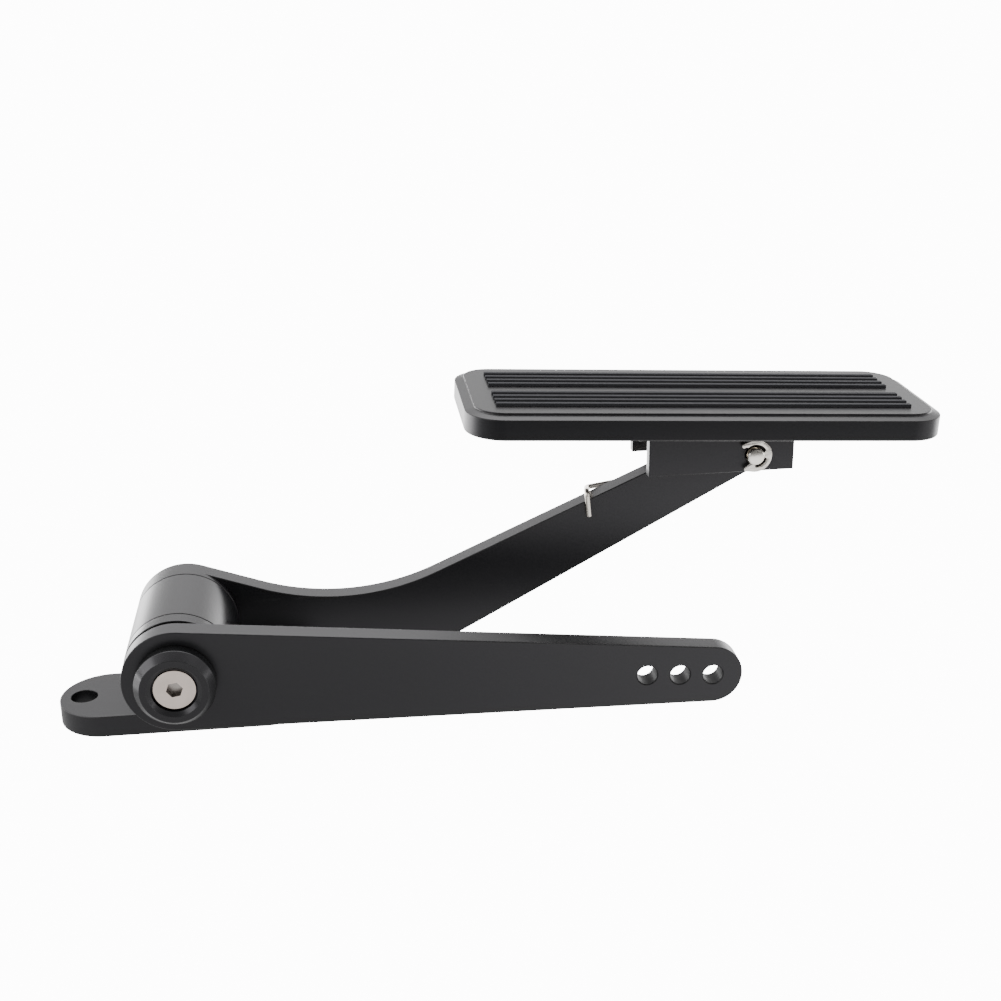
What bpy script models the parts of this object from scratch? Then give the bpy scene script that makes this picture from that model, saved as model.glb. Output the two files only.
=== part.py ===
"""Floor-mounted accelerator pedal machined from aluminium bar and plate.

A short base bracket carries a barrel. A shaft turns in the barrel and joins two arms: a
straight throttle arm with a row of cable holes, and a cranked pedal arm. A ribbed foot pad
swivels on a pin at the pedal arm's end, pushed against its stop by a torsion spring.

Metres. +X runs from the pivot towards the foot pad, +Y away from the throttle arm, +Z up.
The origin is the middle of the base bracket's underside.
"""

import math

import bmesh
import bpy
from mathutils import Vector

# Fits, edge breaks and facets
GAP = 0.0003
EDGE_BREAK = 0.0003
ARC_STEP = math.radians(7.5)
ROUND_STEPS = 40
SMALL_ROUND_STEPS = 20

# Base bracket: a round-ended foot plate, a pedestal and the barrel
PLATE_THICKNESS = 0.00635
PLATE_LENGTH = 0.0729
MOUNT_HOLE_RADIUS = 0.0038
MOUNT_HOLE_SPACING = 0.0592
BARREL_LENGTH = 0.0275
BARREL_RADIUS = 0.0149
PIVOT_HEIGHT = 0.02215
PEDESTAL_WIDTH = 0.0200

# Pivot shaft and its bushings
SHAFT_RADIUS = 0.00635
SHAFT_FLAT_DEPTH = 0.0012
SHAFT_END_RECESS = 0.0004
BUSHING_WALL = 0.0015
BUSHING_LENGTH = 0.0110
BUSHING_FLANGE_WIDTH = 0.0022
BUSHING_FLANGE_THICKNESS = 0.0010

# Spacers between the barrel and the throttle arm
SPACER_THICKNESS = 0.0047
THRUST_WASHER_RADIUS = 0.0122
THRUST_WASHER_THICKNESS = 0.00055

# Cap washers and their flat head socket screws
CAP_RADIUS = 0.01106
CAP_THICKNESS = 0.0033
CAP_CHAMFER_WIDTH = 0.0017
CAP_CHAMFER_HEIGHT = 0.0013
CAP_POCKET_DEPTH = 0.0006
CAP_POCKET_CLEARANCE = 0.0006
CAP_SCREW_RADIUS = 0.0030
CAP_SCREW_HEAD_RADIUS = 0.0060
CAP_SCREW_HEAD_EDGE = 0.0004
CAP_SCREW_HEAD_PROUD = 0.00107
CAP_SCREW_REACH = 0.0090
CAP_SCREW_HEX = 0.0040
CAP_SCREW_HEX_DEPTH = 0.0022

# Throttle arm: a tapered bar with a row of cable holes
ARM_THICKNESS = 0.0063
THROTTLE_HUB_RADIUS = 0.0148
THROTTLE_END_RADIUS = 0.00853
THROTTLE_ARM_REACH = 0.1500
THROTTLE_ARM_DROOP = math.radians(3.22)
CABLE_HOLE_COUNT = 3
CABLE_HOLE_PITCH = 0.009525
CABLE_HOLE_RADIUS = 0.00285

# Pedal arm: a cranked bar with a boss against the barrel
BOSS_THICKNESS = 0.00195
PIN_REACH = 0.1697
PIN_RISE = 0.0443
ARM_END_RADIUS = 0.0060
ARM_NOSE_RADIUS = 0.0012
ARM_TOP_FALL = math.radians(19.4)
ARM_TOP_RISE = math.radians(24.0)
ARM_TOP_BEND_X = 0.0487
ARM_TOP_BEND_RADIUS = 0.0710
ARM_KNEE_BACK = 0.0240
ARM_KNEE_RADIUS = 0.0500
ARM_BOTTOM_RISE = math.radians(28.35)
ARM_BOTTOM_BEND_RADIUS = 0.0450

# Foot pad: a bevelled slab with a raised panel and two groups of ribs
PAD_TILT = math.radians(2.85)
PAD_LENGTH = 0.1399
PAD_WIDTH = 0.0524
PAD_THICKNESS = 0.0075
PAD_CORNER_RADIUS = 0.0110
PAD_BACK_OFFSET = 0.0176
PAD_SIDE_OFFSET = 0.00115
PAD_BEVEL_WIDTH = 0.0027
PAD_BEVEL_HEIGHT = 0.00075
PAD_STEP = 0.00065
PAD_LOWER_CHAMFER = 0.0004
RIB_COUNT = 4
RIB_PITCH = 0.0038
RIB_WIDTH = 0.0017
RIB_HEIGHT = 0.00085
RIB_LENGTH = 0.1221
RIB_EDGE_BREAK = 0.00015
RIB_GROUP_SPACING = 0.0206

# Pad bracket: a channel whose two ears hold the pad's pin
WEB_THICKNESS = 0.0028
EAR_THICKNESS = 0.0034
EAR_BACK = 0.0318
EAR_FRONT = 0.0121
EAR_DROP = 0.0051
EAR_BACK_DROP = 0.0055
BRACKET_SCREW_RADIUS = 0.0020
BRACKET_SCREW_HEAD_RADIUS = 0.0036
BRACKET_SCREW_GRIP = 0.0050
BRACKET_SCREW_HEX = 0.0025
BRACKET_SCREW_HEX_DEPTH = 0.0012
BRACKET_SCREW_INSET = 0.0062

# Pad pin, its clips, washer and sleeve
PIN_RADIUS = 0.0025
PIN_GROOVE_RADIUS = 0.0019
PIN_TAIL = 0.0009
PIN_CHAMFER = 0.0003
PIN_WASHER_THICKNESS = 0.0012
PIN_WASHER_RADIUS = 0.0046
SLEEVE_RADIUS = 0.0037
CLIP_STANDOFF = 0.0009
CLIP_THICKNESS = 0.0007
CLIP_RADIUS = 0.0048
CLIP_JAW_REACH = 0.0049
CLIP_JAW_RADIUS = 0.00055
CLIP_POCKET_RADIUS = 0.0033
CLIP_OPENING = math.radians(98)
CLIP_TURN = math.radians(187)
CLIP_LUG_HALF_ANGLE = math.radians(14)

# Torsion spring round the pin
WIRE_RADIUS = 0.00078
SPRING_TURNS = 5
SPRING_PITCH = 0.0018
SPRING_HOOK_BACK = 0.0496
SPRING_HOOK_LIFT = 0.0035
SPRING_HOOK_DROP = 0.0080
SPRING_HOOK_LEAN = math.radians(5.5)
SPRING_CORNER_BACK = 0.0481
SPRING_CORNER_LIFT = 0.0009
SPRING_BEND_RADIUS = 0.0013
SPRING_TAIL = 0.0140
SPRING_FACETS = 15

# Sizes worked out from the ones above, as distances along Y from the barrel's middle
BARREL_END = BARREL_LENGTH / 2
SPACER_FRONT = -BARREL_END - GAP - SPACER_THICKNESS
THRUST_WASHER_FRONT = SPACER_FRONT - GAP - THRUST_WASHER_THICKNESS
THROTTLE_ARM_REAR = THRUST_WASHER_FRONT - GAP
THROTTLE_ARM_FRONT = THROTTLE_ARM_REAR - ARM_THICKNESS
BOSS_FRONT = BARREL_END + GAP
PEDAL_ARM_FRONT = BOSS_FRONT + BOSS_THICKNESS
PEDAL_ARM_REAR = PEDAL_ARM_FRONT + ARM_THICKNESS
PEDAL_ARM_MIDDLE = (PEDAL_ARM_FRONT + PEDAL_ARM_REAR) / 2
NEAR_EAR_INSIDE = PEDAL_ARM_FRONT - 2 * GAP - PIN_WASHER_THICKNESS
NEAR_EAR_OUTSIDE = NEAR_EAR_INSIDE - EAR_THICKNESS
COIL_LENGTH = (SPRING_TURNS + 0.5) * SPRING_PITCH + 2 * WIRE_RADIUS
FAR_EAR_INSIDE = PEDAL_ARM_REAR + COIL_LENGTH + 4 * GAP
FAR_EAR_OUTSIDE = FAR_EAR_INSIDE + EAR_THICKNESS
CLIP_OFFSET = CLIP_STANDOFF + CLIP_THICKNESS
PIN_FRONT = NEAR_EAR_OUTSIDE - CLIP_OFFSET - PIN_TAIL
PIN_REAR = FAR_EAR_OUTSIDE + CLIP_OFFSET + PIN_TAIL

# Heights above the pin's axis, square to the tilted pad
WEB_UNDERSIDE = ARM_END_RADIUS + GAP
WEB_TOP = WEB_UNDERSIDE + WEB_THICKNESS
PAD_UNDERSIDE = WEB_TOP + GAP

BORE_CLEARANCE = SHAFT_RADIUS + GAP
BUSHING_RADIUS = BORE_CLEARANCE + BUSHING_WALL
BUSHING_FLANGE_RADIUS = BUSHING_RADIUS + BUSHING_FLANGE_WIDTH
COIL_RADIUS = ARM_END_RADIUS - WIRE_RADIUS
PIN_BORE = PIN_RADIUS + GAP

# A turned piece's own +Z faces the front or the rear of the pedal
FACING_FRONT = (math.pi / 2, 0, 0)
FACING_REAR = (-math.pi / 2, 0, 0)
UPRIGHT = (math.pi / 2, 0, 0)
ROUND_ANGLE = math.radians(32)


def clear_scene():
    for obj in list(bpy.data.objects):
        bpy.data.objects.remove(obj)


def new_collection(name):
    collection = bpy.data.collections.new(name)
    bpy.context.scene.collection.children.link(collection)
    return collection


def new_material(name, colour, roughness, metallic):
    material = bpy.data.materials.new(name)
    material.use_nodes = True
    shader = material.node_tree.nodes["Principled BSDF"]
    shader.inputs["Base Color"].default_value = (*colour, 1)
    shader.inputs["Roughness"].default_value = roughness
    shader.inputs["Metallic"].default_value = metallic
    material.diffuse_color = (*colour, 1)
    return material


def black_anodised(name):
    return new_material(name, (0.035, 0.035, 0.038), 0.42, 0.35)


def nickel_plated(name):
    return new_material(name, (0.62, 0.58, 0.54), 0.30, 1.0)


def bright_steel(name):
    return new_material(name, (0.66, 0.66, 0.64), 0.25, 1.0)


def bearing_bronze(name):
    return new_material(name, (0.45, 0.30, 0.13), 0.40, 1.0)


def add_object(name, data, collection, parent=None, rotation=(0, 0, 0), location=(0, 0, 0)):
    obj = bpy.data.objects.new(name, data)
    collection.objects.link(obj)
    obj.parent = parent
    obj.rotation_euler = rotation
    obj.location = location
    return obj


def give_material(obj, material):
    obj.data.materials.clear()
    obj.data.materials.append(material)


def shade_round(obj):
    obj.data.shade_smooth()
    obj.data.set_sharp_from_angle(angle=ROUND_ANGLE)


def hide_cutter(obj):
    obj.hide_render = True
    obj.display_type = "WIRE"


def combine(obj, other, operation):
    """Join another object to this one, or cut it away, as a live modifier."""
    hide_cutter(other)
    modifier = obj.modifiers.new(other.name, "BOOLEAN")
    modifier.operation = operation
    modifier.solver = "EXACT"
    modifier.object = other


def arc(centre, radius, start, end):
    """Points of an arc about centre, from the angle start to the angle end."""
    count = max(2, math.ceil(abs(end - start) / ARC_STEP))
    angles = [start + (end - start) * i / count for i in range(count + 1)]
    return [centre + radius * Vector((math.cos(a), math.sin(a))) for a in angles]


def full_circle(centre, radius, steps):
    turn = 2 * math.pi / steps
    return [
        centre + radius * Vector((math.cos(i * turn), math.sin(i * turn)))
        for i in range(steps)
    ]


def rounded(before, corner, after, radius, step=ARC_STEP):
    """Points of the arc that rounds one corner of a path, in a plane or in space."""
    back = (before - corner).normalized()
    ahead = (after - corner).normalized()
    opening = back.angle(ahead)
    turn = math.pi - opening
    start = corner + back * (radius / math.tan(opening / 2))
    centre = corner + (back + ahead).normalized() * (radius / math.sin(opening / 2))
    count = max(2, math.ceil(turn / step))
    points = []
    for i in range(count + 1):
        angle = turn * i / count
        points.append(
            centre + (start - centre) * math.cos(angle) - back * radius * math.sin(angle)
        )
    return points


def flat_piece(name, outlines, thickness, collection, parent, rotation, location, edge):
    """A flat bar or plate cut to the given outlines, the first one outermost."""
    curve = bpy.data.curves.new(name, "CURVE")
    curve.dimensions = "2D"
    curve.fill_mode = "BOTH"
    curve.extrude = thickness / 2 - edge
    curve.bevel_depth = edge
    curve.bevel_resolution = 0
    curve.offset = -edge
    for outline in outlines:
        spline = curve.splines.new("POLY")
        spline.points.add(len(outline) - 1)
        for point, place in zip(spline.points, outline):
            point.co = (place[0], place[1], 0, 1)
        spline.use_cyclic_u = True
    guide = add_object(name + "_outline", curve, collection)
    bpy.context.view_layer.update()
    evaluated = guide.evaluated_get(bpy.context.evaluated_depsgraph_get())
    mesh = bpy.data.meshes.new_from_object(evaluated)
    bpy.data.objects.remove(guide)
    bm = bmesh.new()
    bm.from_mesh(mesh)
    bmesh.ops.remove_doubles(bm, verts=bm.verts, dist=1e-6)
    bm.to_mesh(mesh)
    bm.free()
    piece = add_object(name, mesh, collection, parent, rotation, location)
    shade_round(piece)
    return piece


def turned_piece(name, profile, steps, collection, parent, rotation, location, ring=False):
    """A turned piece. Its profile of (radius, height) runs down the outer side."""
    count = len(profile)
    edges = [(i, i + 1) for i in range(count - 1)]
    if ring:
        edges.append((count - 1, 0))
    mesh = bpy.data.meshes.new(name)
    mesh.from_pydata([(radius, 0, height) for radius, height in profile], edges, [])
    piece = add_object(name, mesh, collection, parent, rotation, location)
    screw = piece.modifiers.new("turn", "SCREW")
    screw.axis = "Z"
    screw.steps = steps
    screw.render_steps = steps
    screw.use_merge_vertices = True
    screw.merge_threshold = 1e-6
    screw.use_smooth_shade = True
    return piece


def tube_profile(inner, outer, top, bottom):
    return [(outer, top), (outer, bottom), (inner, bottom), (inner, top)]


def bar_profile(radius, top, bottom):
    return [(0, top), (radius, top), (radius, bottom), (0, bottom)]


def hex_cutter(name, across_flats, depth, parent):
    """A hexagon bar whose lower end is at the height minus depth."""
    mesh = bpy.data.meshes.new(name)
    bm = bmesh.new()
    radius = across_flats / math.sqrt(3)
    bmesh.ops.create_cone(
        bm, cap_ends=True, segments=6, radius1=radius, radius2=radius, depth=2 * depth
    )
    bm.to_mesh(mesh)
    bm.free()
    return add_object(name, mesh, cutters, parent)


def box_piece(name, low, high, collection, parent=None, rotation=(0, 0, 0)):
    mesh = bpy.data.meshes.new(name)
    bm = bmesh.new()
    bmesh.ops.create_cube(bm, size=1)
    low = Vector(low)
    high = Vector(high)
    for vert in bm.verts:
        middle = (low + high) / 2
        size = high - low
        vert.co = middle + Vector(a * b for a, b in zip(vert.co, size))
    bm.to_mesh(mesh)
    bm.free()
    return add_object(name, mesh, collection, parent, rotation)


def flatted_outline(radius, flat):
    """A circle with two flats, above and below, at the distance flat from its middle."""
    edge = math.asin(flat / radius)
    centre = Vector((0, 0))
    right = arc(centre, radius, -edge, edge)
    left = arc(centre, radius, math.pi - edge, math.pi + edge)
    return right + left


def base_bracket():
    half = BARREL_END
    inset = PLATE_LENGTH / 2 - half
    outline = arc(Vector((-inset, 0)), half, math.pi / 2, 3 * math.pi / 2)
    outline += arc(Vector((inset, 0)), half, -math.pi / 2, math.pi / 2)
    holes = [
        full_circle(Vector((side * MOUNT_HOLE_SPACING / 2, 0)), MOUNT_HOLE_RADIUS, 24)
        for side in (-1, 1)
    ]
    plate = flat_piece(
        "base_bracket", [outline, *holes], PLATE_THICKNESS, parts, None,
        (0, 0, 0), (0, 0, PLATE_THICKNESS / 2), EDGE_BREAK,
    )
    give_material(plate, black_anodised("base_black_anodised"))
    axis = (0, 0, PIVOT_HEIGHT)
    barrel = turned_piece(
        "barrel", [
            (0, half),
            (BARREL_RADIUS - EDGE_BREAK, half),
            (BARREL_RADIUS, half - EDGE_BREAK),
            (BARREL_RADIUS, EDGE_BREAK - half),
            (BARREL_RADIUS - EDGE_BREAK, -half),
            (0, -half),
        ],
        ROUND_STEPS + 8, cutters, None, FACING_FRONT, axis,
    )
    pedestal = box_piece(
        "pedestal",
        (-PEDESTAL_WIDTH / 2, EDGE_BREAK - half, PLATE_THICKNESS / 2),
        (PEDESTAL_WIDTH / 2, half - EDGE_BREAK, PIVOT_HEIGHT),
        cutters,
    )
    bore_radius = BUSHING_RADIUS + GAP
    seat_radius = BUSHING_FLANGE_RADIUS + GAP
    seat = half - BUSHING_FLANGE_THICKNESS - GAP
    bore = turned_piece(
        "barrel_bore", [
            (0, 2 * half),
            (seat_radius, 2 * half),
            (seat_radius, seat),
            (bore_radius, seat),
            (bore_radius, -seat),
            (seat_radius, -seat),
            (seat_radius, -2 * half),
            (0, -2 * half),
        ],
        ROUND_STEPS, cutters, None, FACING_FRONT, axis,
    )
    combine(plate, pedestal, "UNION")
    combine(plate, barrel, "UNION")
    combine(plate, bore, "DIFFERENCE")


def bushing(name, rotation):
    flange_top = BARREL_END
    flange_base = flange_top - BUSHING_FLANGE_THICKNESS
    end = flange_top - BUSHING_LENGTH
    piece = turned_piece(
        name, [
            (BUSHING_FLANGE_RADIUS, flange_top),
            (BUSHING_FLANGE_RADIUS, flange_base),
            (BUSHING_RADIUS, flange_base),
            (BUSHING_RADIUS, end),
            (BORE_CLEARANCE, end),
            (BORE_CLEARANCE, flange_top),
        ],
        ROUND_STEPS, parts, None, rotation, (0, 0, PIVOT_HEIGHT), ring=True,
    )
    give_material(piece, bearing_bronze(name + "_bronze"))


def pivot_shaft():
    """The shaft, measured towards the front, with a tapped hole in each end."""
    front = -THROTTLE_ARM_FRONT - SHAFT_END_RECESS
    rear = -PEDAL_ARM_REAR + SHAFT_END_RECESS
    tapped_radius = CAP_SCREW_RADIUS + GAP
    front_hole_end = -THROTTLE_ARM_FRONT - CAP_SCREW_REACH
    rear_hole_end = -PEDAL_ARM_REAR + CAP_SCREW_REACH
    shaft = turned_piece(
        "pivot_shaft", [
            (0, front_hole_end),
            (tapped_radius, front_hole_end),
            (tapped_radius, front),
            (SHAFT_RADIUS, front),
            (SHAFT_RADIUS, rear),
            (tapped_radius, rear),
            (tapped_radius, rear_hole_end),
            (0, rear_hole_end),
        ],
        ROUND_STEPS, parts, pivot_axis, FACING_FRONT, (0, 0, 0),
    )
    give_material(shaft, bright_steel("shaft_steel"))
    flat = SHAFT_RADIUS - SHAFT_FLAT_DEPTH
    reach = 2 * SHAFT_RADIUS
    ends = {
        "front": (THROTTLE_ARM_FRONT - reach, THROTTLE_ARM_REAR, THROTTLE_ARM_DROOP),
        "rear": (BOSS_FRONT, PEDAL_ARM_REAR + reach, 0),
    }
    for end, (low, high, droop) in ends.items():
        for side in (-1, 1):
            heights = sorted((side * flat, side * reach))
            cutter = box_piece(
                f"shaft_flat_{end}_{'lower' if side < 0 else 'upper'}",
                (-reach, low, heights[0]), (reach, high, heights[1]),
                cutters, pivot_axis, (0, droop, 0),
            )
            combine(shaft, cutter, "DIFFERENCE")


def spacer_ring():
    piece = turned_piece(
        "spacer_ring", [
            (BARREL_RADIUS - EDGE_BREAK, SPACER_THICKNESS),
            (BARREL_RADIUS, SPACER_THICKNESS - EDGE_BREAK),
            (BARREL_RADIUS, EDGE_BREAK),
            (BARREL_RADIUS - EDGE_BREAK, 0),
            (BORE_CLEARANCE, 0),
            (BORE_CLEARANCE, SPACER_THICKNESS),
        ],
        ROUND_STEPS + 8, parts, pivot_axis, FACING_FRONT, (0, -BARREL_END - GAP, 0), ring=True,
    )
    give_material(piece, black_anodised("spacer_black_anodised"))


def thrust_washer():
    piece = turned_piece(
        "thrust_washer",
        tube_profile(BORE_CLEARANCE, THRUST_WASHER_RADIUS, THRUST_WASHER_THICKNESS, 0),
        ROUND_STEPS, parts, pivot_axis, FACING_FRONT, (0, SPACER_FRONT - GAP, 0), ring=True,
    )
    give_material(piece, bearing_bronze("thrust_washer_bronze"))


def throttle_arm():
    taper = math.asin((THROTTLE_HUB_RADIUS - THROTTLE_END_RADIUS) / THROTTLE_ARM_REACH)
    tangent = math.pi / 2 - taper
    end = Vector((THROTTLE_ARM_REACH, 0))
    outline = arc(Vector((0, 0)), THROTTLE_HUB_RADIUS, tangent, 2 * math.pi - tangent)
    outline += arc(end, THROTTLE_END_RADIUS, -tangent, tangent)
    drive = flatted_outline(BORE_CLEARANCE, SHAFT_RADIUS - SHAFT_FLAT_DEPTH + GAP)
    holes = [
        full_circle(end - Vector((i * CABLE_HOLE_PITCH, 0)), CABLE_HOLE_RADIUS, 24)
        for i in range(CABLE_HOLE_COUNT)
    ]
    piece = flat_piece(
        "throttle_arm", [outline, drive, *holes], ARM_THICKNESS, parts, pivot_axis,
        (math.pi / 2, THROTTLE_ARM_DROOP, 0),
        (0, (THROTTLE_ARM_FRONT + THROTTLE_ARM_REAR) / 2, 0), EDGE_BREAK,
    )
    give_material(piece, black_anodised("throttle_arm_black_anodised"))


def cap_screw_seat():
    """Height of the screw's cone above the cap washer's back, at the shank's radius."""
    cone_top = CAP_THICKNESS + CAP_SCREW_HEAD_PROUD - CAP_SCREW_HEAD_EDGE
    return cone_top - (CAP_SCREW_HEAD_RADIUS - CAP_SCREW_RADIUS)


def cap_washer(name, rotation, seat):
    bore = CAP_SCREW_RADIUS + GAP
    cone_foot = cap_screw_seat() + GAP - GAP * math.sqrt(2)
    pocket_floor = CAP_THICKNESS - CAP_POCKET_DEPTH
    cone_mouth = bore + pocket_floor - cone_foot
    pocket_radius = CAP_SCREW_HEAD_RADIUS + CAP_POCKET_CLEARANCE
    piece = turned_piece(
        name, [
            (CAP_RADIUS - CAP_CHAMFER_WIDTH, CAP_THICKNESS),
            (CAP_RADIUS, CAP_THICKNESS - CAP_CHAMFER_HEIGHT),
            (CAP_RADIUS, 0),
            (bore, 0),
            (bore, cone_foot),
            (cone_mouth, pocket_floor),
            (pocket_radius, pocket_floor),
            (pocket_radius, CAP_THICKNESS),
        ],
        ROUND_STEPS, parts, pivot_axis, rotation, (0, seat, 0), ring=True,
    )
    give_material(piece, black_anodised(name + "_black_anodised"))


def cap_screw(name, rotation, seat):
    head_top = CAP_THICKNESS + CAP_SCREW_HEAD_PROUD
    piece = turned_piece(
        name, [
            (0, head_top),
            (CAP_SCREW_HEAD_RADIUS - EDGE_BREAK, head_top),
            (CAP_SCREW_HEAD_RADIUS, head_top - EDGE_BREAK),
            (CAP_SCREW_HEAD_RADIUS, head_top - CAP_SCREW_HEAD_EDGE),
            (CAP_SCREW_RADIUS, cap_screw_seat()),
            (CAP_SCREW_RADIUS, -CAP_SCREW_REACH),
            (0, -CAP_SCREW_REACH),
        ],
        ROUND_STEPS - 8, parts, pivot_axis, rotation, (0, seat, 0),
    )
    give_material(piece, nickel_plated(name + "_nickel"))
    cutter = hex_cutter(name + "_hex", CAP_SCREW_HEX, CAP_SCREW_HEX_DEPTH, piece)
    cutter.location = (0, 0, head_top)
    cutter.rotation_euler = (0, 0, math.pi / 6)
    combine(piece, cutter, "DIFFERENCE")


def arm_top_line(x):
    """Height above the pivot of the pedal arm's straight top edge, at x from the pivot."""
    bend_height = arm_top_bend().y
    return bend_height + (x - ARM_TOP_BEND_X) * math.tan(ARM_TOP_RISE)


def arm_top_bend():
    """Corner where the falling tangent from the hub meets the rising top edge."""
    height = BARREL_RADIUS / math.cos(ARM_TOP_FALL) - ARM_TOP_BEND_X * math.tan(ARM_TOP_FALL)
    return Vector((ARM_TOP_BEND_X, height))


def pedal_arm_outline():
    hub = Vector((0, 0))
    pin = Vector((PIN_REACH, PIN_RISE))
    up = math.pi / 2

    hub_top = BARREL_RADIUS * Vector((math.sin(ARM_TOP_FALL), math.cos(ARM_TOP_FALL)))
    bend = arm_top_bend()
    knee_x = PIN_REACH - ARM_KNEE_BACK
    knee = Vector((knee_x, arm_top_line(knee_x)))

    to_pin = pin - knee
    lean = math.asin(ARM_END_RADIUS / to_pin.length)
    knee_rise = math.atan2(to_pin.y, to_pin.x) + lean
    nose_x = PIN_REACH + ARM_END_RADIUS
    nose_y = PIN_RISE + (ARM_END_RADIUS - ARM_END_RADIUS * math.sin(PAD_TILT)) / math.cos(
        PAD_TILT
    )
    nose = Vector((nose_x, nose_y))
    flat_start = pin + ARM_END_RADIUS * Vector((math.sin(PAD_TILT), math.cos(PAD_TILT)))

    bottom_tangent = ARM_BOTTOM_RISE - up
    heel = pin + ARM_END_RADIUS * Vector((math.cos(bottom_tangent), math.sin(bottom_tangent)))
    drop = heel.y + BARREL_RADIUS
    elbow = Vector((heel.x - drop / math.tan(ARM_BOTTOM_RISE), -BARREL_RADIUS))

    outline = arc(hub, BARREL_RADIUS, 3 * up, up - ARM_TOP_FALL)
    outline += rounded(hub_top, bend, knee, ARM_TOP_BEND_RADIUS)
    knee_end = pin + ARM_END_RADIUS * Vector((-math.sin(knee_rise), math.cos(knee_rise)))
    outline += rounded(bend, knee, knee_end, ARM_KNEE_RADIUS)
    outline += arc(pin, ARM_END_RADIUS, up + knee_rise, up - PAD_TILT)
    outline += rounded(flat_start, nose, pin + Vector((ARM_END_RADIUS, 0)), ARM_NOSE_RADIUS)
    outline += arc(pin, ARM_END_RADIUS, 0, bottom_tangent)
    outline += rounded(heel, elbow, Vector((0, -BARREL_RADIUS)), ARM_BOTTOM_BEND_RADIUS)
    return outline


def pedal_arm():
    pin_hole = full_circle(Vector((PIN_REACH, PIN_RISE)), PIN_BORE, SMALL_ROUND_STEPS)
    piece = flat_piece(
        "pedal_arm", [pedal_arm_outline(), pin_hole], ARM_THICKNESS, parts, pivot_axis,
        UPRIGHT, (0, PEDAL_ARM_MIDDLE, 0), EDGE_BREAK,
    )
    give_material(piece, black_anodised("pedal_arm_black_anodised"))
    overlap = ARM_THICKNESS / 2
    boss = turned_piece(
        "pedal_arm_boss", [
            (0, BOSS_THICKNESS),
            (BARREL_RADIUS - EDGE_BREAK, BOSS_THICKNESS),
            (BARREL_RADIUS, BOSS_THICKNESS - EDGE_BREAK),
            (BARREL_RADIUS, -EDGE_BREAK),
            (BARREL_RADIUS - EDGE_BREAK, -overlap),
            (0, -overlap),
        ],
        ROUND_STEPS + 8, cutters, pivot_axis, FACING_FRONT, (0, PEDAL_ARM_FRONT, 0),
    )
    combine(piece, boss, "UNION")
    drive = flatted_outline(BORE_CLEARANCE, SHAFT_RADIUS - SHAFT_FLAT_DEPTH + GAP)
    depth = 2 * (ARM_THICKNESS + BOSS_THICKNESS)
    hole = flat_piece(
        "pedal_arm_drive_hole", [drive], depth, cutters, pivot_axis,
        UPRIGHT, (0, PEDAL_ARM_MIDDLE, 0), 0,
    )
    combine(piece, hole, "DIFFERENCE")


def raise_face(bm, face, height):
    """Extrude one face straight along Z and return the face at its end."""
    face = bmesh.ops.extrude_discrete_faces(bm, faces=[face])["faces"][0]
    bmesh.ops.translate(bm, verts=face.verts, vec=(0, 0, height))
    return face


def draw_in(bm, face, inset, height):
    """Inset one face and lift it, which leaves a bevel around it."""
    bmesh.ops.inset_region(bm, faces=[face], thickness=inset, use_even_offset=True)
    bmesh.ops.translate(bm, verts=face.verts, vec=(0, 0, height))
    return face


def pad_blank_mesh(name):
    """The pad without its ribs, its underside at z = 0."""
    bm = bmesh.new()
    bmesh.ops.create_grid(bm, x_segments=1, y_segments=1, size=0.5)
    bmesh.ops.scale(bm, verts=bm.verts, vec=(PAD_LENGTH, PAD_WIDTH, 1))
    bmesh.ops.bevel(
        bm, geom=bm.verts[:], offset=PAD_CORNER_RADIUS, offset_type="OFFSET",
        segments=8, profile=0.5, affect="VERTICES",
    )
    bm.faces.ensure_lookup_table()
    underside = bm.faces[0]
    wall = PAD_THICKNESS - PAD_BEVEL_HEIGHT - PAD_STEP - PAD_LOWER_CHAMFER
    extruded = bmesh.ops.extrude_face_region(bm, geom=[underside], use_keep_orig=True)
    top = next(item for item in extruded["geom"] if isinstance(item, bmesh.types.BMFace))
    bmesh.ops.translate(bm, verts=bm.verts, vec=(0, 0, PAD_LOWER_CHAMFER))
    bmesh.ops.translate(bm, verts=top.verts, vec=(0, 0, wall))
    draw_in(bm, underside, PAD_LOWER_CHAMFER, -PAD_LOWER_CHAMFER)
    top = draw_in(bm, top, PAD_BEVEL_WIDTH, PAD_BEVEL_HEIGHT)
    raise_face(bm, top, PAD_STEP)
    bmesh.ops.recalc_face_normals(bm, faces=bm.faces)
    mesh = bpy.data.meshes.new(name)
    bm.to_mesh(mesh)
    bm.free()
    return mesh


def pad_ribs_mesh(name):
    """Both groups of ribs, sunk halfway into the pad, about the pad's own middle."""
    bm = bmesh.new()
    for group in (-1, 1):
        for i in range(RIB_COUNT):
            y = group * RIB_GROUP_SPACING / 2 + (i - (RIB_COUNT - 1) / 2) * RIB_PITCH
            cube = bmesh.ops.create_cube(bm, size=1)["verts"]
            bmesh.ops.scale(bm, verts=cube, vec=(RIB_LENGTH, RIB_WIDTH, 2 * RIB_HEIGHT))
            bmesh.ops.translate(bm, verts=cube, vec=(0, y, PAD_THICKNESS))
    top_edges = [
        edge for edge in bm.edges
        if all(vert.co.z > PAD_THICKNESS for vert in edge.verts)
    ]
    bmesh.ops.bevel(
        bm, geom=top_edges, offset=RIB_EDGE_BREAK, offset_type="OFFSET",
        segments=1, affect="EDGES",
    )
    mesh = bpy.data.meshes.new(name)
    bm.to_mesh(mesh)
    bm.free()
    return mesh


def pad_up():
    """Direction square to the tilted pad."""
    return Vector((math.sin(PAD_TILT), 0, math.cos(PAD_TILT)))


def pad_along():
    """Direction along the tilted pad, towards its right end."""
    return Vector((math.cos(PAD_TILT), 0, -math.sin(PAD_TILT)))


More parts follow.
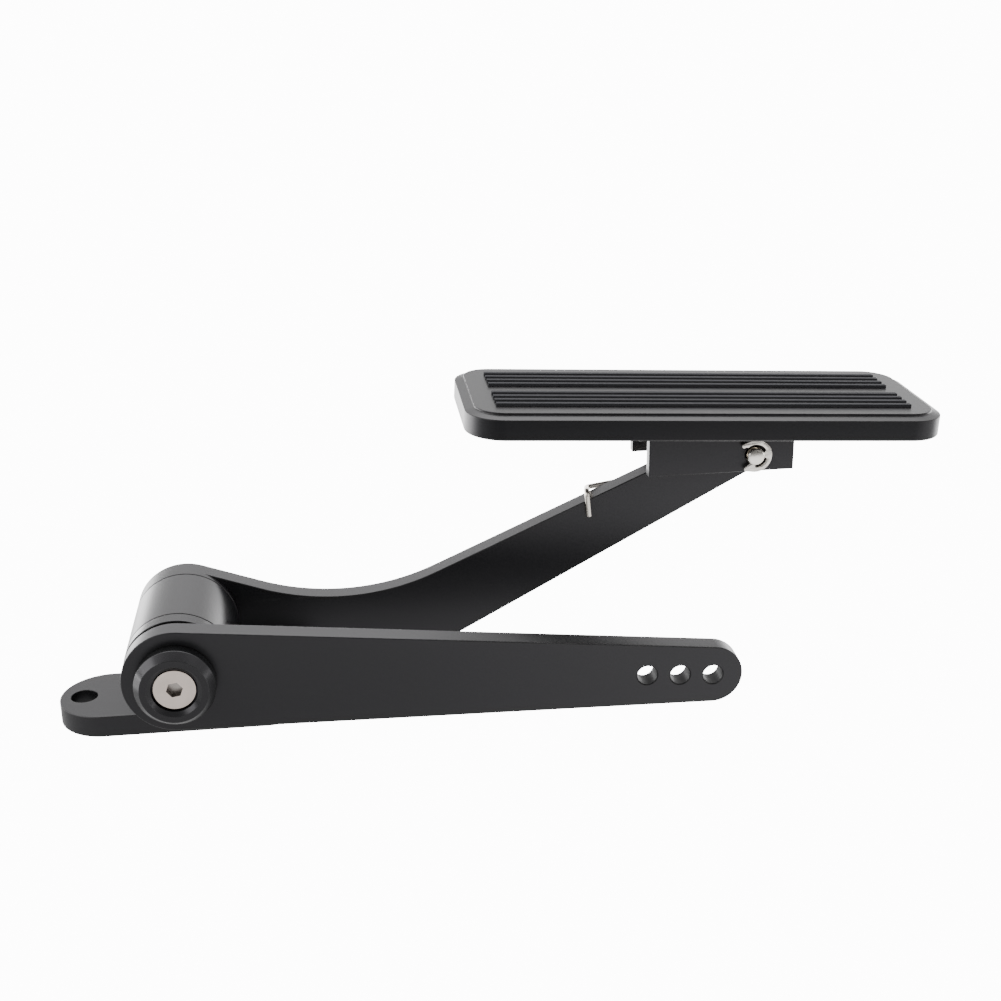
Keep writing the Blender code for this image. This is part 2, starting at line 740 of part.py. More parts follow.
def screw_places():
    """Places of the two bracket screws along the pad, from the pin's axis."""
    return (-EAR_BACK + BRACKET_SCREW_INSET, EAR_FRONT - BRACKET_SCREW_INSET)


def pad_plate():
    tilt = (0, PAD_TILT, 0)
    up = pad_up()
    along = pad_along()
    middle = up * PAD_UNDERSIDE - along * PAD_BACK_OFFSET
    middle.y = PEDAL_ARM_MIDDLE + PAD_SIDE_OFFSET
    piece = add_object(
        "pad_plate", pad_blank_mesh("pad_plate"), parts, pad_axis, tilt, middle
    )
    shade_round(piece)
    give_material(piece, black_anodised("pad_black_anodised"))
    ribs = add_object(
        "pad_ribs", pad_ribs_mesh("pad_ribs"), cutters, pad_axis, tilt, middle
    )
    combine(piece, ribs, "UNION")
    for number, place in enumerate(screw_places(), 1):
        hole = turned_piece(
            f"pad_screw_hole_{number}",
            bar_profile(BRACKET_SCREW_RADIUS + GAP, BRACKET_SCREW_GRIP + GAP, -PAD_STEP),
            SMALL_ROUND_STEPS, cutters, pad_axis, tilt,
            up * PAD_UNDERSIDE + along * place + Vector((0, screw_line(), 0)),
        )
        combine(piece, hole, "DIFFERENCE")


def screw_line():
    """Where the bracket's screws lie across it: midway between its two ears."""
    return (NEAR_EAR_INSIDE + FAR_EAR_INSIDE) / 2


def bracket_screw(name, place):
    """A flat head screw whose head lies a gap inside the bracket's channel roof."""
    radius = BRACKET_SCREW_RADIUS
    head = BRACKET_SCREW_HEAD_RADIUS
    end = WEB_THICKNESS + GAP + BRACKET_SCREW_GRIP - GAP
    piece = turned_piece(
        name, [(0, end), (radius, end), (radius, head - radius), (head, 0), (0, 0)],
        SMALL_ROUND_STEPS, parts, pad_axis, (0, PAD_TILT, 0),
        pad_up() * (WEB_UNDERSIDE + GAP) + pad_along() * place + Vector((0, screw_line(), 0)),
    )
    give_material(piece, bright_steel(name + "_steel"))
    cutter = hex_cutter(name + "_hex", BRACKET_SCREW_HEX, BRACKET_SCREW_HEX_DEPTH, piece)
    combine(piece, cutter, "DIFFERENCE")


def web_height(x, distance):
    """Height at x, from the pin, of the line that lies the given distance above the pin."""
    return (distance - x * math.sin(PAD_TILT)) / math.cos(PAD_TILT)


def pad_bracket():
    outline = [
        Vector((-EAR_BACK, -EAR_BACK_DROP)),
        Vector((EAR_FRONT, -EAR_DROP)),
        Vector((EAR_FRONT, web_height(EAR_FRONT, WEB_TOP))),
        Vector((-EAR_BACK, web_height(-EAR_BACK, WEB_TOP))),
    ]
    pin_hole = full_circle(Vector((0, 0)), PIN_BORE, SMALL_ROUND_STEPS)
    width = FAR_EAR_OUTSIDE - NEAR_EAR_OUTSIDE
    middle = (FAR_EAR_OUTSIDE + NEAR_EAR_OUTSIDE) / 2
    piece = flat_piece(
        "pad_bracket", [outline, pin_hole], width, parts, pad_axis,
        UPRIGHT, (0, middle, 0), EDGE_BREAK,
    )
    give_material(piece, black_anodised("bracket_black_anodised"))
    channel = box_piece(
        "bracket_channel",
        (-2 * EAR_BACK, NEAR_EAR_INSIDE, -2 * EAR_DROP - EAR_BACK),
        (2 * EAR_BACK, FAR_EAR_INSIDE, WEB_UNDERSIDE),
        cutters, pad_axis, (0, PAD_TILT, 0),
    )
    combine(piece, channel, "DIFFERENCE")
    up = pad_up()
    along = pad_along()
    for number, place in enumerate(screw_places(), 1):
        radius = BRACKET_SCREW_RADIUS + GAP
        head = BRACKET_SCREW_HEAD_RADIUS + GAP
        cone_top = head - radius + GAP
        hole = turned_piece(
            f"bracket_screw_hole_{number}", [
                (0, 2 * WEB_THICKNESS),
                (radius, 2 * WEB_THICKNESS),
                (radius, cone_top),
                (head, GAP),
                (head, -WEB_THICKNESS),
                (0, -WEB_THICKNESS),
            ],
            SMALL_ROUND_STEPS, cutters, pad_axis, (0, PAD_TILT, 0),
            up * WEB_UNDERSIDE + along * place + Vector((0, screw_line(), 0)),
        )
        combine(piece, hole, "DIFFERENCE")


def pad_pin():
    """The pin, measured towards the front, with a groove for each clip."""
    front = -PIN_FRONT
    rear = -PIN_REAR
    tail = PIN_TAIL - GAP
    groove = CLIP_THICKNESS + 2 * GAP
    piece = turned_piece(
        "pad_pin", [
            (0, front),
            (PIN_RADIUS - PIN_CHAMFER, front),
            (PIN_RADIUS, front - PIN_CHAMFER),
            (PIN_RADIUS, front - tail),
            (PIN_GROOVE_RADIUS, front - tail),
            (PIN_GROOVE_RADIUS, front - tail - groove),
            (PIN_RADIUS, front - tail - groove),
            (PIN_RADIUS, rear + tail + groove),
            (PIN_GROOVE_RADIUS, rear + tail + groove),
            (PIN_GROOVE_RADIUS, rear + tail),
            (PIN_RADIUS, rear + tail),
            (PIN_RADIUS, rear + PIN_CHAMFER),
            (PIN_RADIUS - PIN_CHAMFER, rear),
            (0, rear),
        ],
        SMALL_ROUND_STEPS + 4, parts, pad_axis, FACING_FRONT, (0, 0, 0),
    )
    give_material(piece, bright_steel("pin_steel"))


def clip_outline():
    """An E-shaped clip, open about the +X direction, with three lugs on the groove."""
    centre = Vector((0, 0))
    half_open = CLIP_OPENING / 2
    contact = PIN_GROOVE_RADIUS + GAP
    shoulder = half_open + math.acos((CLIP_RADIUS - CLIP_JAW_RADIUS) / CLIP_JAW_REACH)
    jaw = CLIP_JAW_REACH * Vector((math.cos(half_open), math.sin(half_open)))
    upper_end = half_open - math.pi / 2
    outline = arc(jaw, CLIP_JAW_RADIUS, upper_end, shoulder)
    outline += arc(centre, CLIP_RADIUS, shoulder, 2 * math.pi - shoulder)
    outline += arc(
        Vector((jaw.x, -jaw.y)), CLIP_JAW_RADIUS, 2 * math.pi - shoulder, 2 * math.pi - upper_end
    )
    lug_width = 2 * CLIP_LUG_HALF_ANGLE
    tip_lug = 2 * math.pi - half_open - lug_width
    back_lug = math.pi + CLIP_LUG_HALF_ANGLE
    outline += arc(centre, contact, tip_lug + lug_width, tip_lug)
    outline += arc(centre, CLIP_POCKET_RADIUS, tip_lug - ARC_STEP, back_lug + ARC_STEP)
    outline += arc(centre, contact, back_lug, back_lug - lug_width)
    outline += arc(
        centre, CLIP_POCKET_RADIUS, back_lug - lug_width - ARC_STEP, half_open + lug_width + ARC_STEP
    )
    outline += arc(centre, contact, half_open + lug_width, half_open)
    return outline


def pin_clip(name, place):
    piece = flat_piece(
        name, [clip_outline()], CLIP_THICKNESS, parts, pad_axis,
        (math.pi / 2, -CLIP_TURN, 0), (0, place, 0), 0,
    )
    give_material(piece, bright_steel(name + "_steel"))


def pin_washer():
    piece = turned_piece(
        "pin_washer",
        tube_profile(PIN_BORE, PIN_WASHER_RADIUS, PIN_WASHER_THICKNESS, 0),
        SMALL_ROUND_STEPS, parts, pad_axis, FACING_FRONT, (0, PEDAL_ARM_FRONT - GAP, 0), ring=True,
    )
    give_material(piece, bright_steel("pin_washer_steel"))


def pin_sleeve():
    length = FAR_EAR_INSIDE - PEDAL_ARM_REAR - 2 * GAP
    piece = turned_piece(
        "pin_sleeve", tube_profile(PIN_BORE, SLEEVE_RADIUS, length, 0),
        SMALL_ROUND_STEPS, parts, pad_axis, FACING_REAR, (0, PEDAL_ARM_REAR + GAP, 0), ring=True,
    )
    give_material(piece, bright_steel("pin_sleeve_steel"))


def spring_path():
    """Centre line of the spring's wire, from the pin's axis, hook first."""
    hook_z = arm_top_line(PIN_REACH - SPRING_HOOK_BACK) - PIN_RISE + SPRING_HOOK_LIFT
    corner_z = arm_top_line(PIN_REACH - SPRING_CORNER_BACK) - PIN_RISE + SPRING_CORNER_LIFT
    distance = math.hypot(SPRING_CORNER_BACK, corner_z)
    slope = math.atan2(-corner_z, SPRING_CORNER_BACK) - math.asin(COIL_RADIUS / distance)
    down = Vector((math.sin(SPRING_HOOK_LEAN), 0, -math.cos(SPRING_HOOK_LEAN)))
    near_y = PEDAL_ARM_FRONT - GAP - WIRE_RADIUS
    far_y = PEDAL_ARM_REAR + 2 * GAP + WIRE_RADIUS
    near = Vector((-SPRING_HOOK_BACK, near_y, hook_z))
    far = Vector((-SPRING_CORNER_BACK, far_y, corner_z))

    first = slope - math.pi / 2
    last = math.pi / 2 - PAD_TILT + 2 * math.pi * SPRING_TURNS
    coil = []
    count = SPRING_FACETS * SPRING_TURNS + SPRING_FACETS // 2
    for i in range(count + 1):
        angle = first + (last - first) * i / count
        y = far_y + SPRING_PITCH * (angle - first) / (2 * math.pi)
        coil.append(Vector((COIL_RADIUS * math.cos(angle), y, COIL_RADIUS * math.sin(angle))))

    tip = near + down * SPRING_HOOK_DROP
    step = math.radians(30)
    path = [tip]
    path += rounded(tip, near, far, SPRING_BEND_RADIUS, step)
    path += rounded(near, far, coil[0], SPRING_BEND_RADIUS, step)
    path += coil
    back = Vector((-math.cos(PAD_TILT), 0, math.sin(PAD_TILT)))
    path.append(coil[-1] + back * SPRING_TAIL)
    return path


def pad_spring():
    curve = bpy.data.curves.new("pad_spring", "CURVE")
    curve.dimensions = "3D"
    curve.bevel_depth = WIRE_RADIUS
    curve.bevel_resolution = 2
    curve.use_fill_caps = True
    path = spring_path()
    spline = curve.splines.new("POLY")
    spline.points.add(len(path) - 1)
    for point, place in zip(spline.points, path):
        point.co = (*place, 1)
    piece = add_object(
        "pad_spring", curve, parts, pivot_axis, (0, 0, 0), (PIN_REACH, 0, PIN_RISE)
    )
    give_material(piece, bright_steel("spring_steel"))


clear_scene()
parts = new_collection("accelerator_pedal")
cutters = new_collection("cutters")

pivot_axis = add_object("pivot_axis", None, parts, location=(0, 0, PIVOT_HEIGHT))
pad_axis = add_object("pad_axis", None, parts, pivot_axis, location=(PIN_REACH, 0, PIN_RISE))

base_bracket()
bushing("bushing_front", FACING_FRONT)
bushing("bushing_rear", FACING_REAR)

pivot_shaft()
spacer_ring()
thrust_washer()
throttle_arm()
cap_washer("cap_washer_front", FACING_FRONT, THROTTLE_ARM_FRONT - GAP)
cap_screw("cap_screw_front", FACING_FRONT, THROTTLE_ARM_FRONT - GAP)
pedal_arm()
cap_washer("cap_washer_rear", FACING_REAR, PEDAL_ARM_REAR + GAP)
cap_screw("cap_screw_rear", FACING_REAR, PEDAL_ARM_REAR + GAP)
pad_spring()

pad_plate()
pad_bracket()
for screw_name, screw_place in zip(("bracket_screw_left", "bracket_screw_right"), screw_places()):
    bracket_screw(screw_name, screw_place)
pad_pin()
pin_clip("pin_clip_front", NEAR_EAR_OUTSIDE - CLIP_STANDOFF - CLIP_THICKNESS / 2)
pin_clip("pin_clip_rear", FAR_EAR_OUTSIDE + CLIP_STANDOFF + CLIP_THICKNESS / 2)
pin_washer()
pin_sleeve()

bpy.context.view_layer.update()
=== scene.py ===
"""The accelerator pedal, dressed for its picture.

Each visible machined piece is made again here from the same sizes as the CAD model, with
fine facets and softened edges, and takes the place of its CAD node. Metres, in the CAD frame:
+X towards the foot pad, +Y away from the throttle arm, +Z up, origin under the base bracket.
"""

import math

import bmesh
import bpy
from mathutils import Matrix, Vector


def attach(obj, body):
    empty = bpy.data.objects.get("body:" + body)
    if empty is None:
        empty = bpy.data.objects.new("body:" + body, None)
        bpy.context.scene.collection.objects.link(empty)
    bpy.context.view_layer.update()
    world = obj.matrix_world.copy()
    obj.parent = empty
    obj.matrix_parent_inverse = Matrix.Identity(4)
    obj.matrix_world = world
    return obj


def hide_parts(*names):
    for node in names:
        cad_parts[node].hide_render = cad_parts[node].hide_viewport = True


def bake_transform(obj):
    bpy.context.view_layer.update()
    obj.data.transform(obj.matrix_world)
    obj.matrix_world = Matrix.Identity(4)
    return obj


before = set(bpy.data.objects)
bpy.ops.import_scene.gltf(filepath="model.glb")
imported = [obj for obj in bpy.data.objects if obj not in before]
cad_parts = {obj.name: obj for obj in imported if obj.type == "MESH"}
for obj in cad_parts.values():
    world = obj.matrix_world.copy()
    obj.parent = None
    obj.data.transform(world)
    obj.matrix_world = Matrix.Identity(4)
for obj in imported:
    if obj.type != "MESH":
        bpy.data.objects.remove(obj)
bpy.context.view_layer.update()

# Camera, as the photograph was taken
PICTURE_PIXELS = 1001
FOCAL_PIXELS = 1490.67
CAMERA_POSITION = (0.0469, -0.39697, 0.2089)
CAMERA_AZIMUTH = math.radians(6.547)
CAMERA_DIP = math.radians(20.423)
CAMERA_ROLL = math.radians(-0.678)
SENSOR_WIDTH = 36.0
CAMERA_REACH = (0.01, 50)

# Floor: how brightly its parts glow, and where one part fades into the next
FLOOR_SIZE = 24.0
FLOOR_DEPTH = 0.0002
FLOOR_COLOUR = (0.05, 0.05, 0.05)
FLOOR_FRONT_GLOW = 0.02
FLOOR_LEFT_GLOW = 0.62
FLOOR_RIGHT_GLOW = 1.2
FLOOR_MIDDLE_GLOW = 0.35
FLOOR_BACK_GLOW = 4.5
FLOOR_FRONT_FADE = (-0.208, -0.193)
FLOOR_ACROSS_FADE = (0.0, 0.22)
FLOOR_MIDDLE_FADE = (0.08, 0.14)
FLOOR_BACK_FADE = (0.0, 0.15)
REFLECTOR_GLOW = 1.8
REFLECTOR_SIDE_FADE = (0.05, 0.08)
REFLECTOR_FRONT_FADE = (-0.07, -0.03)

# Room: the same for its parts, by direction, from -1 to 1 across, away and upwards
BACKDROP_GLOW = 1.55
BACKDROP_FADE = (-0.3, 0.7)
BACKDROP_DIP = 0.62
DIP_FOOT_FADE = (0.27, 0.30)
DIP_TOP_FADE = (0.34, 0.39)
ROOM_GLOW = 0.35
SIDE_GLOW = 0.3
SIDE_FADE = (0.2, 0.9)
SIDE_BOX_GLOW = 2.2
SIDE_BOX_FADE = (0.4, 0.65)
SIDE_BOX_FOOT_FADE = (0.12, 0.2)
SIDE_BOX_TOP_FADE = (0.6, 0.75)
SIDE_BOX_BACK_FADE = (0.1, 0.35)
OVERHEAD_GLOW = 1.9
OVERHEAD_FADE = (0.55, 0.8)
HORIZON_GLOW = 1.6
HORIZON_TOP_FADE = (0.02, 0.22)
HORIZON_SIDE_FADE = (0.1, 0.35)
CAMERA_WHITE = 13.0

# Soft light above the back of the floor
SOFTBOX_PLACE = (0.1, 0.7, 1.1)
SOFTBOX_TARGET = (0.09, 0.0, 0.04)
SOFTBOX_WIDTH = 1.2
SOFTBOX_HEIGHT = 0.8
SOFTBOX_POWER = 4.5

# Finishes: the skin's colours, and the size, height and sheen of the marks on it and on metal
SKIN_DARK = (0.0076, 0.0076, 0.0084)
SKIN_LIGHT = (0.0084, 0.0084, 0.0093)
# The softened edges turn lighter: partly wear, partly painted highlight
SKIN_RUBBED_AND_PAINTED_HIGHLIGHT = (0.060, 0.060, 0.062)
SKIN_SHEEN = (0.98, 0.955, 1.0, 1)
SKIN_RUB_AND_HIGHLIGHT = 0.35
SKIN_CLOUD_SIZE = 0.018
SKIN_CLOUD_ROUGHNESS = 0.004
SKIN_GRAIN_SIZE = 0.00030
SKIN_GRAIN_ROUGHNESS = 0.04
SKIN_GRAIN_STRENGTH = 0.05
SKIN_GRAIN_DEPTH = 0.00003
HANDLING_SIZE = 0.006
HANDLING_RANGE = (0.45, 0.75)
RUBBED_AND_HIGHLIGHT_RANGE = (0.5, 1.3)
METAL_CLOUD_SIZE = 0.004
METAL_CLOUD_RANGE = (0.35, 0.7)
METAL_CLOUD_ROUGHNESS = 0.05
METAL_MARK_SIZE = 0.00025
METAL_MARK_ROUGHNESS = 0.08
METAL_MARK_STRENGTH = 0.10
METAL_MARK_DEPTH = 0.00002

# Gaps between pieces, and fineness of the meshes
GAP = 0.0003
EDGE_ROUND = 0.0003
FINE_ROUND = 0.0001
EDGE_WIDEST = 0.00016
FINE_EDGE_WIDEST = 0.0001
SQUARE_ON = 0.9
SIDE_ON = 0.5
EDGE_SEGMENTS = 3
ARC_STEP = math.radians(2.5)
FILLET_STEP = math.radians(22.5)
ROUND_STEPS = 144
SMALL_ROUND_STEPS = 64
SMOOTH_ANGLE = math.radians(32)

# Base bracket
PLATE_THICKNESS = 0.00635
PLATE_LENGTH = 0.0729
MOUNT_HOLE_RADIUS = 0.0038
MOUNT_HOLE_SPACING = 0.0592
BARREL_LENGTH = 0.0275
BARREL_RADIUS = 0.0149
PIVOT_HEIGHT = 0.02215
PEDESTAL_WIDTH = 0.0200

# Pivot shaft, bushings and spacers
SHAFT_RADIUS = 0.00635
SHAFT_FLAT_DEPTH = 0.0012
BUSHING_WALL = 0.0015
BUSHING_FLANGE_WIDTH = 0.0022
BUSHING_FLANGE_THICKNESS = 0.0010
SPACER_THICKNESS = 0.0047
THRUST_WASHER_RADIUS = 0.0122
THRUST_WASHER_THICKNESS = 0.00055

# Cap washers and screws
CAP_RADIUS = 0.01106
CAP_HEIGHT = 0.0057
CAP_CHAMFER_WIDTH = 0.0018
CAP_CHAMFER_HEIGHT = 0.0025
CAP_DISH_RADIUS = 0.0075
CAP_DISH_DEPTH = 0.00085
CAP_POCKET_RADIUS = 0.0063
CAP_POCKET_FLOOR = 0.0027
CAP_RIM_ROUND = 0.0003
CAP_SHOULDER_ROUND = 0.0004
CAP_DISH_ROUND = 0.0002
CAP_SCREW_RADIUS = 0.0030
CAP_SCREW_HEAD_RADIUS = 0.0058
CAP_SCREW_HEAD_EDGE = 0.0004
CAP_SCREW_HEAD_HEIGHT = 0.00437
CAP_SCREW_HEAD_ROUND = 0.00018
CAP_SCREW_REACH = 0.0090
CAP_SCREW_HEX = 0.0040
CAP_SCREW_HEX_DEPTH = 0.0022
CAP_SCREW_HEX_TURN = math.radians(39)

# Throttle arm
ARM_THICKNESS = 0.0063
THROTTLE_HUB_RADIUS = 0.0148
THROTTLE_END_RADIUS = 0.00853
THROTTLE_ARM_REACH = 0.1500
THROTTLE_ARM_DROOP = math.radians(3.22)
CABLE_HOLE_COUNT = 3
CABLE_HOLE_PITCH = 0.009525
CABLE_HOLE_RADIUS = 0.00285

# Pedal arm
BOSS_THICKNESS = 0.00195
PIN_REACH = 0.1697
PIN_RISE = 0.0443
ARM_END_RADIUS = 0.0060
ARM_NOSE_RADIUS = 0.0012
ARM_TOP_FALL = math.radians(19.4)
ARM_TOP_RISE = math.radians(24.0)
ARM_TOP_BEND_X = 0.0487
ARM_TOP_BEND_RADIUS = 0.0710
ARM_KNEE_BACK = 0.0240
ARM_KNEE_RADIUS = 0.0500
ARM_BOTTOM_RISE = math.radians(28.35)
ARM_BOTTOM_BEND_RADIUS = 0.0450

# Foot pad
PAD_TILT = math.radians(2.85)
PAD_LENGTH = 0.1399
PAD_WIDTH = 0.0524
PAD_THICKNESS = 0.0075
PAD_CORNER_RADIUS = 0.0110
PAD_BACK_OFFSET = 0.0176
PAD_SIDE_OFFSET = 0.00115
PAD_BEVEL_WIDTH = 0.0027
PAD_BEVEL_HEIGHT = 0.00075
PAD_STEP = 0.00065
PAD_LOWER_CHAMFER = 0.0004
PAD_CORNER_SEGMENTS = 24
PAD_EDGE_ROUND = 0.00022
PAD_SHARP_ANGLE = math.radians(14)
RIB_COUNT = 4
RIB_PITCH = 0.0038
RIB_WIDTH = 0.0017
RIB_HEIGHT = 0.00085
RIB_LENGTH = 0.1221
RIB_EDGE_ROUND = 0.00015
RIB_GROUP_SPACING = 0.0206

# Pad bracket and its screws
WEB_THICKNESS = 0.0028
EAR_THICKNESS = 0.0034
EAR_BACK = 0.0318
EAR_FRONT = 0.0121
EAR_DROP = 0.0051
EAR_BACK_DROP = 0.0055
BRACKET_SCREW_RADIUS = 0.0020
BRACKET_SCREW_HEAD_RADIUS = 0.0036
BRACKET_SCREW_GRIP = 0.0050
BRACKET_SCREW_HEX = 0.0025
BRACKET_SCREW_HEX_DEPTH = 0.0012
BRACKET_SCREW_INSET = 0.0062

# Pad pin, clips, washer and sleeve
PIN_RADIUS = 0.0025
PIN_GROOVE_RADIUS = 0.0019
PIN_TAIL = 0.0009
PIN_CHAMFER = 0.0003
PIN_WASHER_THICKNESS = 0.0012
PIN_WASHER_RADIUS = 0.0046
SLEEVE_RADIUS = 0.0037
CLIP_STANDOFF = 0.0009
CLIP_THICKNESS = 0.0007
CLIP_RADIUS = 0.00495
CLIP_JAW_REACH = 0.0048
CLIP_JAW_RADIUS = 0.00065
CLIP_POCKET_RADIUS = 0.00355
CLIP_OPENING = math.radians(98)
CLIP_TURN = math.radians(187)
CLIP_LUG_HALF_ANGLE = math.radians(14)
CLIP_LUG_SLOPE = math.radians(7.5)
CLIP_EDGE_ROUND = 0.0001

# Torsion spring
WIRE_RADIUS = 0.00078
SPRING_TURNS = 5
SPRING_PITCH = 0.0018
SPRING_HOOK_BACK = 0.0496
SPRING_HOOK_LIFT = 0.0035
SPRING_HOOK_DROP = 0.0080
SPRING_HOOK_LEAN = math.radians(5.5)
SPRING_CORNER_BACK = 0.0481
SPRING_CORNER_LIFT = 0.0009
SPRING_BEND_RADIUS = 0.0013
SPRING_TAIL = 0.0140
SPRING_STEPS = 60
SPRING_BEND_STEP = math.radians(6)
WIRE_RESOLUTION = 6

# Places along Y
BARREL_END = BARREL_LENGTH / 2
SPACER_FRONT = -BARREL_END - GAP - SPACER_THICKNESS
THRUST_WASHER_FRONT = SPACER_FRONT - GAP - THRUST_WASHER_THICKNESS
THROTTLE_ARM_REAR = THRUST_WASHER_FRONT - GAP
THROTTLE_ARM_FRONT = THROTTLE_ARM_REAR - ARM_THICKNESS
BOSS_FRONT = BARREL_END + GAP
PEDAL_ARM_FRONT = BOSS_FRONT + BOSS_THICKNESS
PEDAL_ARM_REAR = PEDAL_ARM_FRONT + ARM_THICKNESS
PEDAL_ARM_MIDDLE = (PEDAL_ARM_FRONT + PEDAL_ARM_REAR) / 2
NEAR_EAR_INSIDE = PEDAL_ARM_FRONT - 2 * GAP - PIN_WASHER_THICKNESS
NEAR_EAR_OUTSIDE = NEAR_EAR_INSIDE - EAR_THICKNESS
COIL_LENGTH = (SPRING_TURNS + 0.5) * SPRING_PITCH + 2 * WIRE_RADIUS
FAR_EAR_INSIDE = PEDAL_ARM_REAR + COIL_LENGTH + 4 * GAP
FAR_EAR_OUTSIDE = FAR_EAR_INSIDE + EAR_THICKNESS
CLIP_OFFSET = CLIP_STANDOFF + CLIP_THICKNESS
PIN_FRONT = NEAR_EAR_OUTSIDE - CLIP_OFFSET - PIN_TAIL
PIN_REAR = FAR_EAR_OUTSIDE + CLIP_OFFSET + PIN_TAIL
SCREW_LINE = (NEAR_EAR_INSIDE + FAR_EAR_INSIDE) / 2
SCREW_PLACES = (-EAR_BACK + BRACKET_SCREW_INSET, EAR_FRONT - BRACKET_SCREW_INSET)

# Heights above the pin, square to the tilted pad
WEB_UNDERSIDE = ARM_END_RADIUS + GAP
WEB_TOP = WEB_UNDERSIDE + WEB_THICKNESS
PAD_UNDERSIDE = WEB_TOP + GAP

BORE_CLEARANCE = SHAFT_RADIUS + GAP
BUSHING_RADIUS = BORE_CLEARANCE + BUSHING_WALL
BUSHING_FLANGE_RADIUS = BUSHING_RADIUS + BUSHING_FLANGE_WIDTH
COIL_RADIUS = ARM_END_RADIUS - WIRE_RADIUS
PIN_BORE = PIN_RADIUS + GAP

PIVOT = Vector((0, 0, PIVOT_HEIGHT))
PIN = Vector((PIN_REACH, 0, PIVOT_HEIGHT + PIN_RISE))
PAD_UP = Vector((math.sin(PAD_TILT), 0, math.cos(PAD_TILT)))
PAD_ALONG = Vector((math.cos(PAD_TILT), 0, -math.sin(PAD_TILT)))
FACING_FRONT = (math.pi / 2, 0, 0)
FACING_REAR = (-math.pi / 2, 0, 0)
UPRIGHT = (math.pi / 2, 0, 0)
TILTED = (0, PAD_TILT, 0)
NO_TURN = (0, 0, 0)


# Finishes
class Value:
    """An output of a graph's nodes. Python's operators on it add Math nodes."""

    def __init__(self, graph, socket):
        self.graph = graph
        self.socket = socket

    def maths(self, operation, first, second):
        return self.graph.node("ShaderNodeMath", {"operation": operation}, {0: first, 1: second})

    def __add__(self, other):
        return self.maths("ADD", self, other)

    __radd__ = __add__

    def __sub__(self, other):
        return self.maths("SUBTRACT", self, other)

    def __rsub__(self, other):
        return self.maths("SUBTRACT", other, self)

    def __mul__(self, other):
        return self.maths("MULTIPLY", self, other)

    __rmul__ = __mul__


class Graph:
    """A shader tree that takes nodes, with numbers or values on their sockets."""

    def __init__(self, tree):
        self.tree = tree

    def feed(self, socket, value):
        if isinstance(value, Value):
            self.tree.links.new(value.socket, socket)
        else:
            socket.default_value = value

    def node(self, kind, settings=None, inputs=None, output=0):
        node = self.tree.nodes.new(kind)
        for name, setting in (settings or {}).items():
            setattr(node, name, setting)
        for name, value in (inputs or {}).items():
            self.feed(node.inputs[name], value)
        return Value(self, node.outputs[output])

    def fade(self, value, low, high):
        """A smooth rise from 0 to 1 while value goes from low to high."""
        return self.node(
            "ShaderNodeMapRange", {"interpolation_type": "SMOOTHSTEP"},
            {"Value": value, "From Min": low, "From Max": high},
        )


class Finish(Graph):
    """A procedural finish on Object coordinates, around one Principled shader."""

    def __init__(self, name, **sockets):
        self.material = bpy.data.materials.new(name)
        self.material.use_nodes = True
        super().__init__(self.material.node_tree)
        self.shader = self.tree.nodes["Principled BSDF"]
        for socket, value in sockets.items():
            self.set(socket.replace("_", " "), value)
        self.place = self.node("ShaderNodeTexCoord", output="Object")

    def set(self, socket, value):
        self.feed(self.shader.inputs[socket], value)

    def noise(self, size, detail=2.0, roughness=0.5, stretch=(1, 1, 1)):
        """Noise whose features are about size metres across."""
        place = self.place
        if stretch != (1, 1, 1):
            place = self.node(
                "ShaderNodeMapping", {"vector_type": "TEXTURE"},
                {"Vector": self.place, "Scale": stretch},
            )
        return self.node(
            "ShaderNodeTexNoise", None,
            {"Vector": place, "Scale": 1 / size, "Detail": detail, "Roughness": roughness},
        )

    def contrast(self, value, low, high):
        return self.node(
            "ShaderNodeMapRange", None, {"Value": value, "From Min": low, "From Max": high}
        )

    def blend(self, factor, first, second):
        """A colour between two others."""
        node = self.tree.nodes.new("ShaderNodeMix")
        node.data_type = "RGBA"
        self.feed(node.inputs["Factor"], factor)
        self.feed(node.inputs[6], (*first, 1) if isinstance(first, tuple) else first)
        self.feed(node.inputs[7], (*second, 1) if isinstance(second, tuple) else second)
        return Value(self, node.outputs[2])

    def bump(self, height, strength, distance):
        self.set(
            "Normal",
            self.node(
                "ShaderNodeBump", None,
                {"Height": height, "Strength": strength, "Distance": distance},
            ),
        )


def anodised_finish(name, roughness, grain_stretch=(1, 1, 1), index=1.55, bleached=1.0):
    """Black anodised aluminium: a satin skin with fine blasted grain, and edges lightened partly
    by wear and partly by painted highlight.
    """
    finish = Finish(name, Metallic=0.0, IOR=index)
    finish.set("Specular Tint", SKIN_SHEEN)
    cloud = finish.noise(SKIN_CLOUD_SIZE, detail=3.0)
    grain = finish.noise(SKIN_GRAIN_SIZE, detail=3.0, roughness=0.6, stretch=grain_stretch)
    smears = finish.noise(HANDLING_SIZE, detail=6.0, roughness=0.65)
    handling = finish.contrast(smears, *HANDLING_RANGE)
    edge = finish.node("ShaderNodeAttribute", {"attribute_name": "edge"}, output="Fac")
    dark, light = (
        tuple(level * bleached for level in colour) for colour in (SKIN_DARK, SKIN_LIGHT)
    )
    skin = finish.blend(cloud, dark, light)
    worn_and_highlit = finish.contrast(grain + handling, *RUBBED_AND_HIGHLIGHT_RANGE)
    # Lighter softened edges: partly wear, partly painted highlight
    finish.set("Base Color", finish.blend(edge * worn_and_highlit * SKIN_RUB_AND_HIGHLIGHT, skin, SKIN_RUBBED_AND_PAINTED_HIGHLIGHT))
    finish.set(
        "Roughness", roughness + cloud * SKIN_CLOUD_ROUGHNESS + grain * SKIN_GRAIN_ROUGHNESS
    )
    finish.bump(grain, SKIN_GRAIN_STRENGTH, SKIN_GRAIN_DEPTH)
    return finish.material


